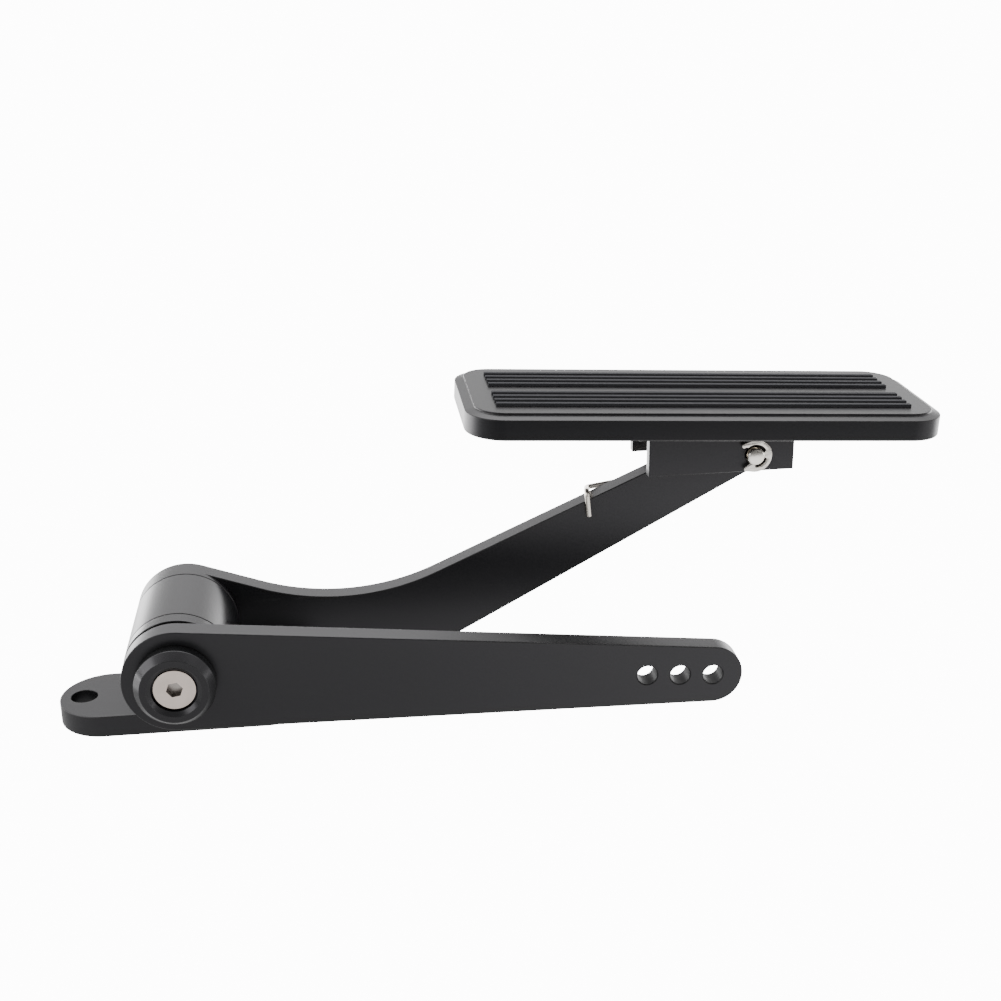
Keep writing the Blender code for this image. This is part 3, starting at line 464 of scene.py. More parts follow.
def metal_finish(name, colour, shade, roughness):
    """Bare or plated metal with fine tool marks."""
    finish = Finish(name, Metallic=1.0)
    marks = finish.noise(METAL_MARK_SIZE, detail=3.0)
    cloud = finish.noise(METAL_CLOUD_SIZE, detail=3.0)
    shading = finish.contrast(cloud, *METAL_CLOUD_RANGE)
    finish.set("Base Color", finish.blend(shading, colour, shade))
    finish.set(
        "Roughness", roughness + marks * METAL_MARK_ROUGHNESS + cloud * METAL_CLOUD_ROUGHNESS
    )
    finish.bump(marks, METAL_MARK_STRENGTH, METAL_MARK_DEPTH)
    return finish.material


ANODISED = anodised_finish("black_anodised_satin", 0.30)
ANODISED_PAD = anodised_finish("black_anodised_pad", 0.30, index=1.44)
ANODISED_RIBS = anodised_finish("black_anodised_ribs", 0.42, index=1.08, bleached=6.0)
ANODISED_SMOOTH = anodised_finish("black_anodised_smooth", 0.26)
ANODISED_TURNED = anodised_finish("black_anodised_turned", 0.20, (1, 0.2, 1))
ANODISED_DRILLED = anodised_finish("black_anodised_drilled", 0.40, index=1.33)
NICKEL = metal_finish("nickel_plate", (1.00, 0.87, 0.79), (0.91, 0.79, 0.71), 0.26)
# Nickel darkened by painted shade for the hex socket's floor, and darker still for its walls
SOCKET_FLOOR_PAINTED_SHADE = metal_finish(
    "nickel_plate_painted_shade_in_socket", (0.66, 0.61, 0.57), (0.50, 0.46, 0.43), 0.30
)
SOCKET_WALL_PAINTED_SHADE = metal_finish(
    "nickel_plate_painted_shade_on_socket_walls", (0.15, 0.13, 0.12), (0.11, 0.10, 0.09), 0.40
)
STEEL = metal_finish("ground_steel", (0.92, 0.88, 0.82), (0.82, 0.78, 0.72), 0.16)
PIN_STEEL = metal_finish("polished_pin", (1.00, 0.96, 0.89), (0.94, 0.90, 0.83), 0.08)
WIRE = metal_finish("drawn_wire", (0.95, 0.90, 0.82), (0.84, 0.79, 0.71), 0.20)
BRONZE = metal_finish("bearing_bronze", (0.50, 0.34, 0.16), (0.40, 0.26, 0.12), 0.35)


# Shapes
def arc(centre, radius, start, end, step=ARC_STEP):
    """Points of an arc about centre, from the angle start to the angle end."""
    count = max(2, math.ceil(abs(end - start) / step))
    angles = [start + (end - start) * i / count for i in range(count + 1)]
    return [centre + radius * Vector((math.cos(a), math.sin(a))) for a in angles]


def full_circle(centre, radius):
    turn = 2 * math.pi / SMALL_ROUND_STEPS
    return [
        centre + radius * Vector((math.cos(i * turn), math.sin(i * turn)))
        for i in range(SMALL_ROUND_STEPS)
    ]


def rounded(before, corner, after, radius, step=ARC_STEP):
    """Points of the arc that rounds one corner of a path, in a plane or in space."""
    back = (before - corner).normalized()
    ahead = (after - corner).normalized()
    opening = back.angle(ahead)
    turn = math.pi - opening
    start = corner + back * (radius / math.tan(opening / 2))
    centre = corner + (back + ahead).normalized() * (radius / math.sin(opening / 2))
    count = max(2, math.ceil(turn / step))
    points = []
    for i in range(count + 1):
        angle = turn * i / count
        points.append(
            centre + (start - centre) * math.cos(angle) - back * radius * math.sin(angle)
        )
    return points


def add_object(name, data, rotation=NO_TURN, location=(0, 0, 0)):
    obj = bpy.data.objects.new(name, data)
    bpy.context.scene.collection.objects.link(obj)
    obj.rotation_euler = rotation
    obj.location = location
    return obj


def remove(obj):
    bpy.data.objects.remove(obj)


def baked(obj):
    """The object's finished mesh, in the CAD frame, merged and facing outwards."""
    bpy.context.view_layer.update()
    evaluated = obj.evaluated_get(bpy.context.evaluated_depsgraph_get())
    mesh = bpy.data.meshes.new_from_object(evaluated)
    mesh.transform(obj.matrix_world)
    bm = bmesh.new()
    bm.from_mesh(mesh)
    bmesh.ops.remove_doubles(bm, verts=bm.verts, dist=1e-6)
    bmesh.ops.recalc_face_normals(bm, faces=bm.faces)
    bm.to_mesh(mesh)
    bm.free()
    return mesh


def mark_edges(mesh, widest):
    """Mark the narrow strips, which are the softened edges, for the finish to lighten as wear and
    painted highlight.
    """
    edge = mesh.attributes.new("edge", "FLOAT", "FACE")
    for polygon, mark in zip(mesh.polygons, edge.data):
        corners = [mesh.vertices[i].co for i in polygon.vertices]
        longest = max((a - b).length for a, b in zip(corners, corners[1:] + corners[:1]))
        strip = len(corners) > 3 and longest > 0
        mark.value = 1.0 if strip and polygon.area / longest < widest else 0.0


def refinish(piece, material, chosen):
    """Give another finish to the faces of a piece for which chosen is true."""
    piece.data.materials.append(material)
    slot = len(piece.data.materials) - 1
    for polygon in piece.data.polygons:
        if chosen(polygon):
            polygon.material_index = slot


def finished(name, live, material, body, node=None, widest=EDGE_WIDEST):
    """Turn a live object into a finished piece that rides on a body."""
    mesh = baked(live)
    remove(live)
    mesh.name = name
    mesh.shade_smooth()
    mesh.set_sharp_from_angle(angle=SMOOTH_ANGLE)
    piece = add_object(name, mesh)
    weighted = piece.modifiers.new("even_faces", "WEIGHTED_NORMAL")
    weighted.keep_sharp = True
    weighted.weight = 100
    bpy.context.view_layer.update()
    evaluated = piece.evaluated_get(bpy.context.evaluated_depsgraph_get())
    piece.data = bpy.data.meshes.new_from_object(evaluated)
    piece.modifiers.clear()
    mark_edges(piece.data, widest)
    piece.data.materials.clear()
    piece.data.materials.append(material)
    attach(piece, body)
    if node:
        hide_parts(node)
    return piece


def combine(obj, other, operation):
    modifier = obj.modifiers.new(other.name, "BOOLEAN")
    modifier.operation = operation
    modifier.solver = "EXACT"
    modifier.object = other
    other.hide_render = True


def flat_shape(name, outlines, thickness, rotation, location, edge):
    """A live flat bar or plate cut to the given outlines, the first one outermost."""
    curve = bpy.data.curves.new(name, "CURVE")
    curve.dimensions = "2D"
    curve.fill_mode = "BOTH"
    curve.extrude = thickness / 2 - edge
    curve.bevel_depth = edge
    curve.bevel_resolution = EDGE_SEGMENTS - 1
    curve.offset = -edge
    for outline in outlines:
        spline = curve.splines.new("POLY")
        spline.points.add(len(outline) - 1)
        for point, place in zip(spline.points, outline):
            point.co = (place[0], place[1], 0, 1)
        spline.use_cyclic_u = True
    guide = add_object(name + "_outline", curve)
    mesh = baked(guide)
    remove(guide)
    return add_object(name + "_shape", mesh, rotation, location)


def turned_shape(name, corners, rotation, location, steps=ROUND_STEPS, ring=False):
    """A live turned piece. Each corner is (radius, height) or (radius, height, softening)."""
    count = len(corners)
    profile = []
    for i, corner in enumerate(corners):
        place = Vector(corner[:2])
        soft = corner[2] if len(corner) > 2 else 0
        if soft:
            before = Vector(corners[i - 1][:2])
            after = Vector(corners[(i + 1) % count][:2])
            profile += rounded(before, place, after, soft, FILLET_STEP)
        else:
            profile.append(place)
    edges = [(i, i + 1) for i in range(len(profile) - 1)]
    if ring:
        edges.append((len(profile) - 1, 0))
    mesh = bpy.data.meshes.new(name)
    mesh.from_pydata([(place.x, 0, place.y) for place in profile], edges, [])
    shape = add_object(name + "_shape", mesh, rotation, location)
    screw = shape.modifiers.new("turn", "SCREW")
    screw.axis = "Z"
    screw.steps = steps
    screw.render_steps = steps
    screw.use_merge_vertices = True
    screw.merge_threshold = 1e-6
    return shape


def box_shape(name, low, high, rotation=NO_TURN, location=(0, 0, 0)):
    mesh = bpy.data.meshes.new(name)
    bm = bmesh.new()
    bmesh.ops.create_cube(bm, size=1)
    low = Vector(low)
    high = Vector(high)
    for vert in bm.verts:
        vert.co = (low + high) / 2 + Vector(a * b for a, b in zip(vert.co, high - low))
    bm.to_mesh(mesh)
    bm.free()
    return add_object(name + "_shape", mesh, rotation, location)


def cut_hexagon(shape, across_flats, depth, mouth, turn=0):
    """Cut a hexagon socket into a turned piece whose head's face is at the height mouth."""
    bm = bmesh.new()
    radius = across_flats / math.sqrt(3)
    bmesh.ops.create_cone(
        bm, cap_ends=True, segments=6, radius1=radius, radius2=radius, depth=2 * depth
    )
    mesh = bpy.data.meshes.new("hexagon")
    bm.to_mesh(mesh)
    bm.free()
    cutter = add_object(shape.name + "_hexagon", mesh)
    placed = Matrix.Translation((0, 0, mouth)) @ Matrix.Rotation(turn, 4, "Z")
    cutter.matrix_world = shape.matrix_basis @ placed
    combine(shape, cutter, "DIFFERENCE")
    return cutter


def flatted_outline(radius, flat):
    """A circle with two flats, at the distance flat from its middle."""
    edge = math.asin(flat / radius)
    centre = Vector((0, 0))
    return arc(centre, radius, -edge, edge) + arc(centre, radius, math.pi - edge, math.pi + edge)


# Base
def make_base_bracket():
    half = BARREL_END
    inset = PLATE_LENGTH / 2 - half
    outline = arc(Vector((-inset, 0)), half, math.pi / 2, 3 * math.pi / 2)
    outline += arc(Vector((inset, 0)), half, -math.pi / 2, math.pi / 2)
    holes = [
        full_circle(Vector((side * MOUNT_HOLE_SPACING / 2, 0)), MOUNT_HOLE_RADIUS)
        for side in (-1, 1)
    ]
    plate = flat_shape(
        "base_plate", [outline, *holes], PLATE_THICKNESS, NO_TURN,
        (0, 0, PLATE_THICKNESS / 2), EDGE_ROUND,
    )
    pedestal = box_shape(
        "pedestal",
        (-PEDESTAL_WIDTH / 2, EDGE_ROUND - half, PLATE_THICKNESS / 2),
        (PEDESTAL_WIDTH / 2, half - EDGE_ROUND, PIVOT_HEIGHT),
    )
    barrel = turned_shape(
        "barrel", [
            (0, half),
            (BARREL_RADIUS, half, EDGE_ROUND),
            (BARREL_RADIUS, -half, EDGE_ROUND),
            (0, -half),
        ],
        FACING_FRONT, PIVOT,
    )
    bore_radius = BUSHING_RADIUS + GAP
    seat_radius = BUSHING_FLANGE_RADIUS + GAP
    seat = half - BUSHING_FLANGE_THICKNESS - GAP
    bore = turned_shape(
        "barrel_bore", [
            (0, 2 * half),
            (seat_radius, 2 * half),
            (seat_radius, seat),
            (bore_radius, seat),
            (bore_radius, -seat),
            (seat_radius, -seat),
            (seat_radius, -2 * half),
            (0, -2 * half),
        ],
        FACING_FRONT, PIVOT,
    )
    combine(plate, pedestal, "UNION")
    combine(plate, barrel, "UNION")
    combine(plate, bore, "DIFFERENCE")
    piece = finished("base_bracket_machined", plate, ANODISED_SMOOTH, "base", "base_bracket")

    def on_plate_top(polygon):
        above = polygon.center.z - PLATE_THICKNESS
        return polygon.normal.z > SQUARE_ON and abs(above) < EDGE_ROUND / 2

    refinish(piece, ANODISED_PAD, on_plate_top)
    for shape in (pedestal, barrel, bore):
        remove(shape)


# Lever
def make_spacers():
    ring = turned_shape(
        "spacer_ring", [
            (BARREL_RADIUS, SPACER_THICKNESS, EDGE_ROUND),
            (BARREL_RADIUS, 0, EDGE_ROUND),
            (BORE_CLEARANCE, 0),
            (BORE_CLEARANCE, SPACER_THICKNESS),
        ],
        FACING_FRONT, (0, -BARREL_END - GAP, PIVOT_HEIGHT), ring=True,
    )
    finished("spacer_ring_turned", ring, ANODISED_TURNED, "lever", "spacer_ring")
    washer = turned_shape(
        "thrust_washer", [
            (THRUST_WASHER_RADIUS, THRUST_WASHER_THICKNESS),
            (THRUST_WASHER_RADIUS, 0),
            (BORE_CLEARANCE, 0),
            (BORE_CLEARANCE, THRUST_WASHER_THICKNESS),
        ],
        FACING_FRONT, (0, SPACER_FRONT - GAP, PIVOT_HEIGHT), ring=True,
    )
    finished("thrust_washer_turned", washer, BRONZE, "lever", "thrust_washer")


def make_throttle_arm():
    taper = math.asin((THROTTLE_HUB_RADIUS - THROTTLE_END_RADIUS) / THROTTLE_ARM_REACH)
    tangent = math.pi / 2 - taper
    end = Vector((THROTTLE_ARM_REACH, 0))
    outline = arc(Vector((0, 0)), THROTTLE_HUB_RADIUS, tangent, 2 * math.pi - tangent)
    outline += arc(end, THROTTLE_END_RADIUS, -tangent, tangent)
    drive = flatted_outline(BORE_CLEARANCE, SHAFT_RADIUS - SHAFT_FLAT_DEPTH + GAP)
    holes = [
        full_circle(end - Vector((i * CABLE_HOLE_PITCH, 0)), CABLE_HOLE_RADIUS)
        for i in range(CABLE_HOLE_COUNT)
    ]
    shape = flat_shape(
        "throttle_arm", [outline, drive, *holes], ARM_THICKNESS,
        (math.pi / 2, THROTTLE_ARM_DROOP, 0),
        (0, (THROTTLE_ARM_FRONT + THROTTLE_ARM_REAR) / 2, PIVOT_HEIGHT), EDGE_ROUND,
    )
    piece = finished("throttle_arm_machined", shape, ANODISED, "lever", "throttle_arm")
    along = Vector((math.cos(THROTTLE_ARM_DROOP), 0, -math.sin(THROTTLE_ARM_DROOP)))

    def in_cable_hole(polygon):
        offset = polygon.center - PIVOT
        return any(
            math.hypot(offset.x - place.x, offset.z - place.z) < CABLE_HOLE_RADIUS + EDGE_ROUND
            for place in (
                along * (THROTTLE_ARM_REACH - i * CABLE_HOLE_PITCH)
                for i in range(CABLE_HOLE_COUNT)
            )
        )

    refinish(piece, ANODISED_DRILLED, in_cable_hole)


def make_cap(end, rotation, seat):
    """A cap washer and its flat head screw."""
    place = (0, seat, PIVOT_HEIGHT)
    head_top = CAP_SCREW_HEAD_HEIGHT
    cone_foot = head_top - CAP_SCREW_HEAD_EDGE - (CAP_SCREW_HEAD_RADIUS - CAP_SCREW_RADIUS)
    bore = CAP_SCREW_RADIUS + GAP
    seat_foot = cone_foot + GAP - GAP * math.sqrt(2)
    washer = turned_shape(
        "cap_washer_" + end, [
            (CAP_RADIUS - CAP_CHAMFER_WIDTH, CAP_HEIGHT, CAP_RIM_ROUND),
            (CAP_RADIUS, CAP_HEIGHT - CAP_CHAMFER_HEIGHT, CAP_SHOULDER_ROUND),
            (CAP_RADIUS, 0, FINE_ROUND),
            (bore, 0),
            (bore, seat_foot),
            (bore + CAP_POCKET_FLOOR - seat_foot, CAP_POCKET_FLOOR),
            (CAP_POCKET_RADIUS, CAP_POCKET_FLOOR),
            (CAP_POCKET_RADIUS, CAP_HEIGHT - CAP_DISH_DEPTH),
            (CAP_DISH_RADIUS, CAP_HEIGHT, CAP_DISH_ROUND),
        ],
        rotation, place, ring=True,
    )
    finished(
        f"cap_washer_{end}_turned", washer, ANODISED_TURNED, "lever", "cap_washer_" + end
    )
    screw = turned_shape(
        "cap_screw_" + end, [
            (0, head_top),
            (CAP_SCREW_HEAD_RADIUS, head_top, CAP_SCREW_HEAD_ROUND),
            (CAP_SCREW_HEAD_RADIUS, head_top - CAP_SCREW_HEAD_EDGE, FINE_ROUND),
            (CAP_SCREW_RADIUS, cone_foot),
            (CAP_SCREW_RADIUS, -CAP_SCREW_REACH),
            (0, -CAP_SCREW_REACH),
        ],
        rotation, place,
    )
    cutter = cut_hexagon(
        screw, CAP_SCREW_HEX, CAP_SCREW_HEX_DEPTH, head_top, CAP_SCREW_HEX_TURN
    )
    piece = finished(
        f"cap_screw_{end}_plated", screw, NICKEL, "lever", "cap_screw_" + end
    )
    remove(cutter)
    corner = CAP_SCREW_HEX / math.sqrt(3)
    mouth = abs(seat) + head_top

    def in_socket(polygon, wall):
        middle = polygon.center
        away = math.hypot(middle.x, middle.z - PIVOT_HEIGHT)
        depth = mouth - abs(middle.y)
        inside = away < corner and FINE_ROUND < depth < 2 * CAP_SCREW_HEX_DEPTH
        return inside and wall == (abs(polygon.normal.y) < SIDE_ON)

    # The socket's walls and floor take the nickel darkened by painted shade
    refinish(piece, SOCKET_WALL_PAINTED_SHADE, lambda polygon: in_socket(polygon, True))
    refinish(piece, SOCKET_FLOOR_PAINTED_SHADE, lambda polygon: in_socket(polygon, False))


def arm_top_line(x):
    """Height above the pivot of the pedal arm's straight top edge, at x from the pivot."""
    return arm_top_bend().y + (x - ARM_TOP_BEND_X) * math.tan(ARM_TOP_RISE)


def arm_top_bend():
    """Corner where the falling tangent from the hub meets the rising top edge."""
    height = BARREL_RADIUS / math.cos(ARM_TOP_FALL) - ARM_TOP_BEND_X * math.tan(ARM_TOP_FALL)
    return Vector((ARM_TOP_BEND_X, height))


def pedal_arm_outline():
    hub = Vector((0, 0))
    pin = Vector((PIN_REACH, PIN_RISE))
    up = math.pi / 2

    hub_top = BARREL_RADIUS * Vector((math.sin(ARM_TOP_FALL), math.cos(ARM_TOP_FALL)))
    bend = arm_top_bend()
    knee_x = PIN_REACH - ARM_KNEE_BACK
    knee = Vector((knee_x, arm_top_line(knee_x)))

    to_pin = pin - knee
    lean = math.asin(ARM_END_RADIUS / to_pin.length)
    knee_rise = math.atan2(to_pin.y, to_pin.x) + lean
    nose_rise = (ARM_END_RADIUS - ARM_END_RADIUS * math.sin(PAD_TILT)) / math.cos(PAD_TILT)
    nose = pin + Vector((ARM_END_RADIUS, nose_rise))
    flat_start = pin + ARM_END_RADIUS * Vector((math.sin(PAD_TILT), math.cos(PAD_TILT)))

    bottom_tangent = ARM_BOTTOM_RISE - up
    heel = pin + ARM_END_RADIUS * Vector((math.cos(bottom_tangent), math.sin(bottom_tangent)))
    drop = heel.y + BARREL_RADIUS
    elbow = Vector((heel.x - drop / math.tan(ARM_BOTTOM_RISE), -BARREL_RADIUS))

    outline = arc(hub, BARREL_RADIUS, 3 * up, up - ARM_TOP_FALL)
    outline += rounded(hub_top, bend, knee, ARM_TOP_BEND_RADIUS, ARC_STEP / 2)
    knee_end = pin + ARM_END_RADIUS * Vector((-math.sin(knee_rise), math.cos(knee_rise)))
    outline += rounded(bend, knee, knee_end, ARM_KNEE_RADIUS, ARC_STEP / 2)
    outline += arc(pin, ARM_END_RADIUS, up + knee_rise, up - PAD_TILT, 2 * ARC_STEP)
    outline += rounded(
        flat_start, nose, pin + Vector((ARM_END_RADIUS, 0)), ARM_NOSE_RADIUS, 4 * ARC_STEP
    )
    outline += arc(pin, ARM_END_RADIUS, 0, bottom_tangent, 2 * ARC_STEP)
    outline += rounded(
        heel, elbow, Vector((0, -BARREL_RADIUS)), ARM_BOTTOM_BEND_RADIUS, ARC_STEP / 2
    )
    return outline


def make_pedal_arm():
    pin_hole = full_circle(Vector((PIN_REACH, PIN_RISE)), PIN_BORE)
    arm = flat_shape(
        "pedal_arm", [pedal_arm_outline(), pin_hole], ARM_THICKNESS,
        UPRIGHT, (0, PEDAL_ARM_MIDDLE, PIVOT_HEIGHT), EDGE_ROUND,
    )
    overlap = ARM_THICKNESS / 2
    boss = turned_shape(
        "pedal_arm_boss", [
            (0, BOSS_THICKNESS),
            (BARREL_RADIUS, BOSS_THICKNESS, EDGE_ROUND),
            (BARREL_RADIUS, -EDGE_ROUND),
            (BARREL_RADIUS - EDGE_ROUND, -overlap),
            (0, -overlap),
        ],
        FACING_FRONT, (0, PEDAL_ARM_FRONT, PIVOT_HEIGHT),
    )
    drive = flatted_outline(BORE_CLEARANCE, SHAFT_RADIUS - SHAFT_FLAT_DEPTH + GAP)
    hole = flat_shape(
        "drive_hole", [drive], 2 * (ARM_THICKNESS + BOSS_THICKNESS),
        UPRIGHT, (0, PEDAL_ARM_MIDDLE, PIVOT_HEIGHT), 0,
    )
    combine(arm, boss, "UNION")
    combine(arm, hole, "DIFFERENCE")
    finished("pedal_arm_machined", arm, ANODISED, "lever", "pedal_arm")
    remove(boss)
    remove(hole)


# Foot pad
def draw_in(bm, face, inset, height):
    """Inset one face and lift it, which leaves a bevel around it."""
    if inset:
        bmesh.ops.inset_region(bm, faces=[face], thickness=inset, use_even_offset=True)
    else:
        face = bmesh.ops.extrude_discrete_faces(bm, faces=[face])["faces"][0]
    bmesh.ops.translate(bm, verts=face.verts, vec=(0, 0, height))
    return face


def pad_middle():
    middle = PIN + PAD_UP * PAD_UNDERSIDE - PAD_ALONG * PAD_BACK_OFFSET
    return Vector((middle.x, PEDAL_ARM_MIDDLE + PAD_SIDE_OFFSET, middle.z))


def on_pad(place, height):
    """A point at a place along the pad from the pin, on the bracket screws' line."""
    point = PIN + PAD_UP * height + PAD_ALONG * place
    return Vector((point.x, SCREW_LINE, point.z))


def make_pad_plate():
    bm = bmesh.new()
    bmesh.ops.create_grid(bm, x_segments=1, y_segments=1, size=0.5)
    bmesh.ops.scale(bm, verts=bm.verts, vec=(PAD_LENGTH, PAD_WIDTH, 1))
    bmesh.ops.bevel(
        bm, geom=bm.verts[:], offset=PAD_CORNER_RADIUS, offset_type="OFFSET",
        segments=PAD_CORNER_SEGMENTS, profile=0.5, affect="VERTICES",
    )
    bm.faces.ensure_lookup_table()
    underside = bm.faces[0]
    wall = PAD_THICKNESS - PAD_BEVEL_HEIGHT - PAD_STEP - PAD_LOWER_CHAMFER
    extruded = bmesh.ops.extrude_face_region(bm, geom=[underside], use_keep_orig=True)
    top = next(item for item in extruded["geom"] if isinstance(item, bmesh.types.BMFace))
    bmesh.ops.translate(bm, verts=bm.verts, vec=(0, 0, PAD_LOWER_CHAMFER))
    bmesh.ops.translate(bm, verts=top.verts, vec=(0, 0, wall))
    draw_in(bm, underside, PAD_LOWER_CHAMFER, -PAD_LOWER_CHAMFER)
    top = draw_in(bm, top, PAD_BEVEL_WIDTH, PAD_BEVEL_HEIGHT)
    draw_in(bm, top, 0, PAD_STEP)
    bmesh.ops.recalc_face_normals(bm, faces=bm.faces)
    mesh = bpy.data.meshes.new("pad_plate")
    bm.to_mesh(mesh)
    bm.free()
    plate = add_object("pad_plate_shape", mesh, TILTED, pad_middle())
    cutters = []
    for place in SCREW_PLACES:
        hole = turned_shape(
            "pad_screw_hole", [
                (0, BRACKET_SCREW_GRIP + GAP),
                (BRACKET_SCREW_RADIUS + GAP, BRACKET_SCREW_GRIP + GAP),
                (BRACKET_SCREW_RADIUS + GAP, -PAD_STEP),
                (0, -PAD_STEP),
            ],
            TILTED, on_pad(place, PAD_UNDERSIDE), SMALL_ROUND_STEPS,
        )
        combine(plate, hole, "DIFFERENCE")
        cutters.append(hole)
    soften = plate.modifiers.new("soften", "BEVEL")
    soften.width = PAD_EDGE_ROUND
    soften.segments = EDGE_SEGMENTS
    soften.limit_method = "ANGLE"
    soften.angle_limit = PAD_SHARP_ANGLE
    finished("pad_plate_machined", plate, ANODISED_PAD, "pad", "pad_plate")
    for hole in cutters:
        remove(hole)


class ShapeTree:
    """A Geometry Nodes tree with named inputs for its sizes."""

    def __init__(self, name):
        self.tree = bpy.data.node_groups.new(name, "GeometryNodeTree")
        self.tree.interface.new_socket(
            "Geometry", in_out="OUTPUT", socket_type="NodeSocketGeometry"
        )
        self.sizes = {}
        self.inputs = self.tree.nodes.new("NodeGroupInput")
        self.output = self.tree.nodes.new("NodeGroupOutput")

    def size(self, name, value, kind="NodeSocketFloat"):
        socket = self.tree.interface.new_socket(name, in_out="INPUT", socket_type=kind)
        self.sizes[socket.identifier] = value
        return self.inputs.outputs[name]

    def node(self, kind, settings=None, inputs=None, output=0):
        node = self.tree.nodes.new(kind)
        for name, setting in (settings or {}).items():
            setattr(node, name, setting)
        for name, value in (inputs or {}).items():
            if isinstance(value, bpy.types.NodeSocket):
                self.tree.links.new(value, node.inputs[name])
            else:
                node.inputs[name].default_value = value
        return node.outputs[output]

    def shape(self, name, geometry, material, rotation, location):
        """End the tree and put it on a live object."""
        realised = self.node("GeometryNodeRealizeInstances", None, {"Geometry": geometry})
        coated = self.node(
            "GeometryNodeSetMaterial", None, {"Geometry": realised, "Material": material}
        )
        self.tree.links.new(coated, self.output.inputs["Geometry"])
        live = add_object(name, bpy.data.meshes.new(name), rotation, location)
        modifier = live.modifiers.new("shape", "NODES")
        modifier.node_group = self.tree
        for identifier, value in self.sizes.items():
            modifier[identifier] = value
        return live


def make_pad_ribs():
    """Two groups of raised ribs, as instances of one bar."""
    tree = ShapeTree("pad_ribs")
    length = tree.size("Rib length", RIB_LENGTH)
    width = tree.size("Rib width", RIB_WIDTH)
    height = tree.size("Rib height above and below the panel", 2 * RIB_HEIGHT)
    count = tree.size("Ribs in a group", RIB_COUNT, "NodeSocketInt")
    pitch = tree.size("Pitch", RIB_PITCH)
    spacing = tree.size("Spacing of the groups", RIB_GROUP_SPACING)
    bar_size = tree.node("ShaderNodeCombineXYZ", None, {"X": length, "Y": width, "Z": height})
    bar = tree.node("GeometryNodeMeshCube", None, {"Size": bar_size})
    step = tree.node("ShaderNodeCombineXYZ", None, {"Y": pitch})
    half_steps = tree.node("ShaderNodeMath", {"operation": "SUBTRACT"}, {0: count, 1: 1.0})
    reach = tree.node("ShaderNodeMath", {"operation": "MULTIPLY"}, {0: half_steps, 1: pitch})
    parts = []
    for side in (-1, 1):
        middle = tree.node("ShaderNodeMath", {"operation": "MULTIPLY"}, {0: spacing, 1: side / 2})
        half_reach = tree.node(
            "ShaderNodeMath", {"operation": "MULTIPLY"}, {0: reach, 1: 0.5}
        )
        first = tree.node("ShaderNodeMath", {"operation": "SUBTRACT"}, {0: middle, 1: half_reach})
        start = tree.node("ShaderNodeCombineXYZ", None, {"Y": first})
        line = tree.node(
            "GeometryNodeMeshLine", None, {"Count": count, "Start Location": start, "Offset": step}
        )
        parts.append(
            tree.node("GeometryNodeInstanceOnPoints", None, {"Points": line, "Instance": bar})
        )
    joined = tree.tree.nodes.new("GeometryNodeJoinGeometry")
    for part in parts:
        tree.tree.links.new(part, joined.inputs["Geometry"])
    live = tree.shape(
        "pad_ribs", joined.outputs["Geometry"], ANODISED_RIBS, TILTED,
        pad_middle() + PAD_UP * PAD_THICKNESS,
    )
    soften = live.modifiers.new("soften", "BEVEL")
    soften.width = RIB_EDGE_ROUND
    soften.segments = EDGE_SEGMENTS
    ribs = finished("pad_ribs_machined", live, ANODISED_RIBS, "pad")


def web_height(x, distance):
    """Height at x, from the pin, of the line that lies the given distance above the pin."""
    return (distance - x * math.sin(PAD_TILT)) / math.cos(PAD_TILT)


def make_pad_bracket():
    outline = [
        Vector((-EAR_BACK, -EAR_BACK_DROP)),
        Vector((EAR_FRONT, -EAR_DROP)),
        Vector((EAR_FRONT, web_height(EAR_FRONT, WEB_TOP))),
        Vector((-EAR_BACK, web_height(-EAR_BACK, WEB_TOP))),
    ]
    bracket = flat_shape(
        "pad_bracket", [outline, full_circle(Vector((0, 0)), PIN_BORE)],
        FAR_EAR_OUTSIDE - NEAR_EAR_OUTSIDE, UPRIGHT,
        (PIN.x, (FAR_EAR_OUTSIDE + NEAR_EAR_OUTSIDE) / 2, PIN.z), EDGE_ROUND,
    )
    channel = box_shape(
        "bracket_channel",
        (-2 * EAR_BACK, NEAR_EAR_INSIDE, -2 * EAR_DROP - EAR_BACK),
        (2 * EAR_BACK, FAR_EAR_INSIDE, WEB_UNDERSIDE),
        TILTED, PIN,
    )
    combine(bracket, channel, "DIFFERENCE")
    cutters = [channel]
    radius = BRACKET_SCREW_RADIUS + GAP
    head = BRACKET_SCREW_HEAD_RADIUS + GAP
    for place in SCREW_PLACES:
        hole = turned_shape(
            "bracket_screw_hole", [
                (0, 2 * WEB_THICKNESS),
                (radius, 2 * WEB_THICKNESS),
                (radius, head - radius + GAP),
                (head, GAP),
                (head, -WEB_THICKNESS),
                (0, -WEB_THICKNESS),
            ],
            TILTED, on_pad(place, WEB_UNDERSIDE), SMALL_ROUND_STEPS,
        )
        combine(bracket, hole, "DIFFERENCE")
        cutters.append(hole)
    finished("pad_bracket_machined", bracket, ANODISED, "pad", "pad_bracket")
    for cutter in cutters:
        remove(cutter)


def make_bracket_screws():
    end = WEB_THICKNESS + BRACKET_SCREW_GRIP
    radius = BRACKET_SCREW_RADIUS
    head = BRACKET_SCREW_HEAD_RADIUS
    for side, place in zip(("left", "right"), SCREW_PLACES):
        name = "bracket_screw_" + side
        corners = [
            (0, end), (radius, end), (radius, head - radius), (head, 0, FINE_ROUND), (0, 0)
        ]
        screw = turned_shape(
            name, corners, TILTED, on_pad(place, WEB_UNDERSIDE + GAP), SMALL_ROUND_STEPS
        )
        cutter = cut_hexagon(screw, BRACKET_SCREW_HEX, BRACKET_SCREW_HEX_DEPTH, 0)
        finished(name + "_steel", screw, STEEL, "pad", name)
        remove(cutter)


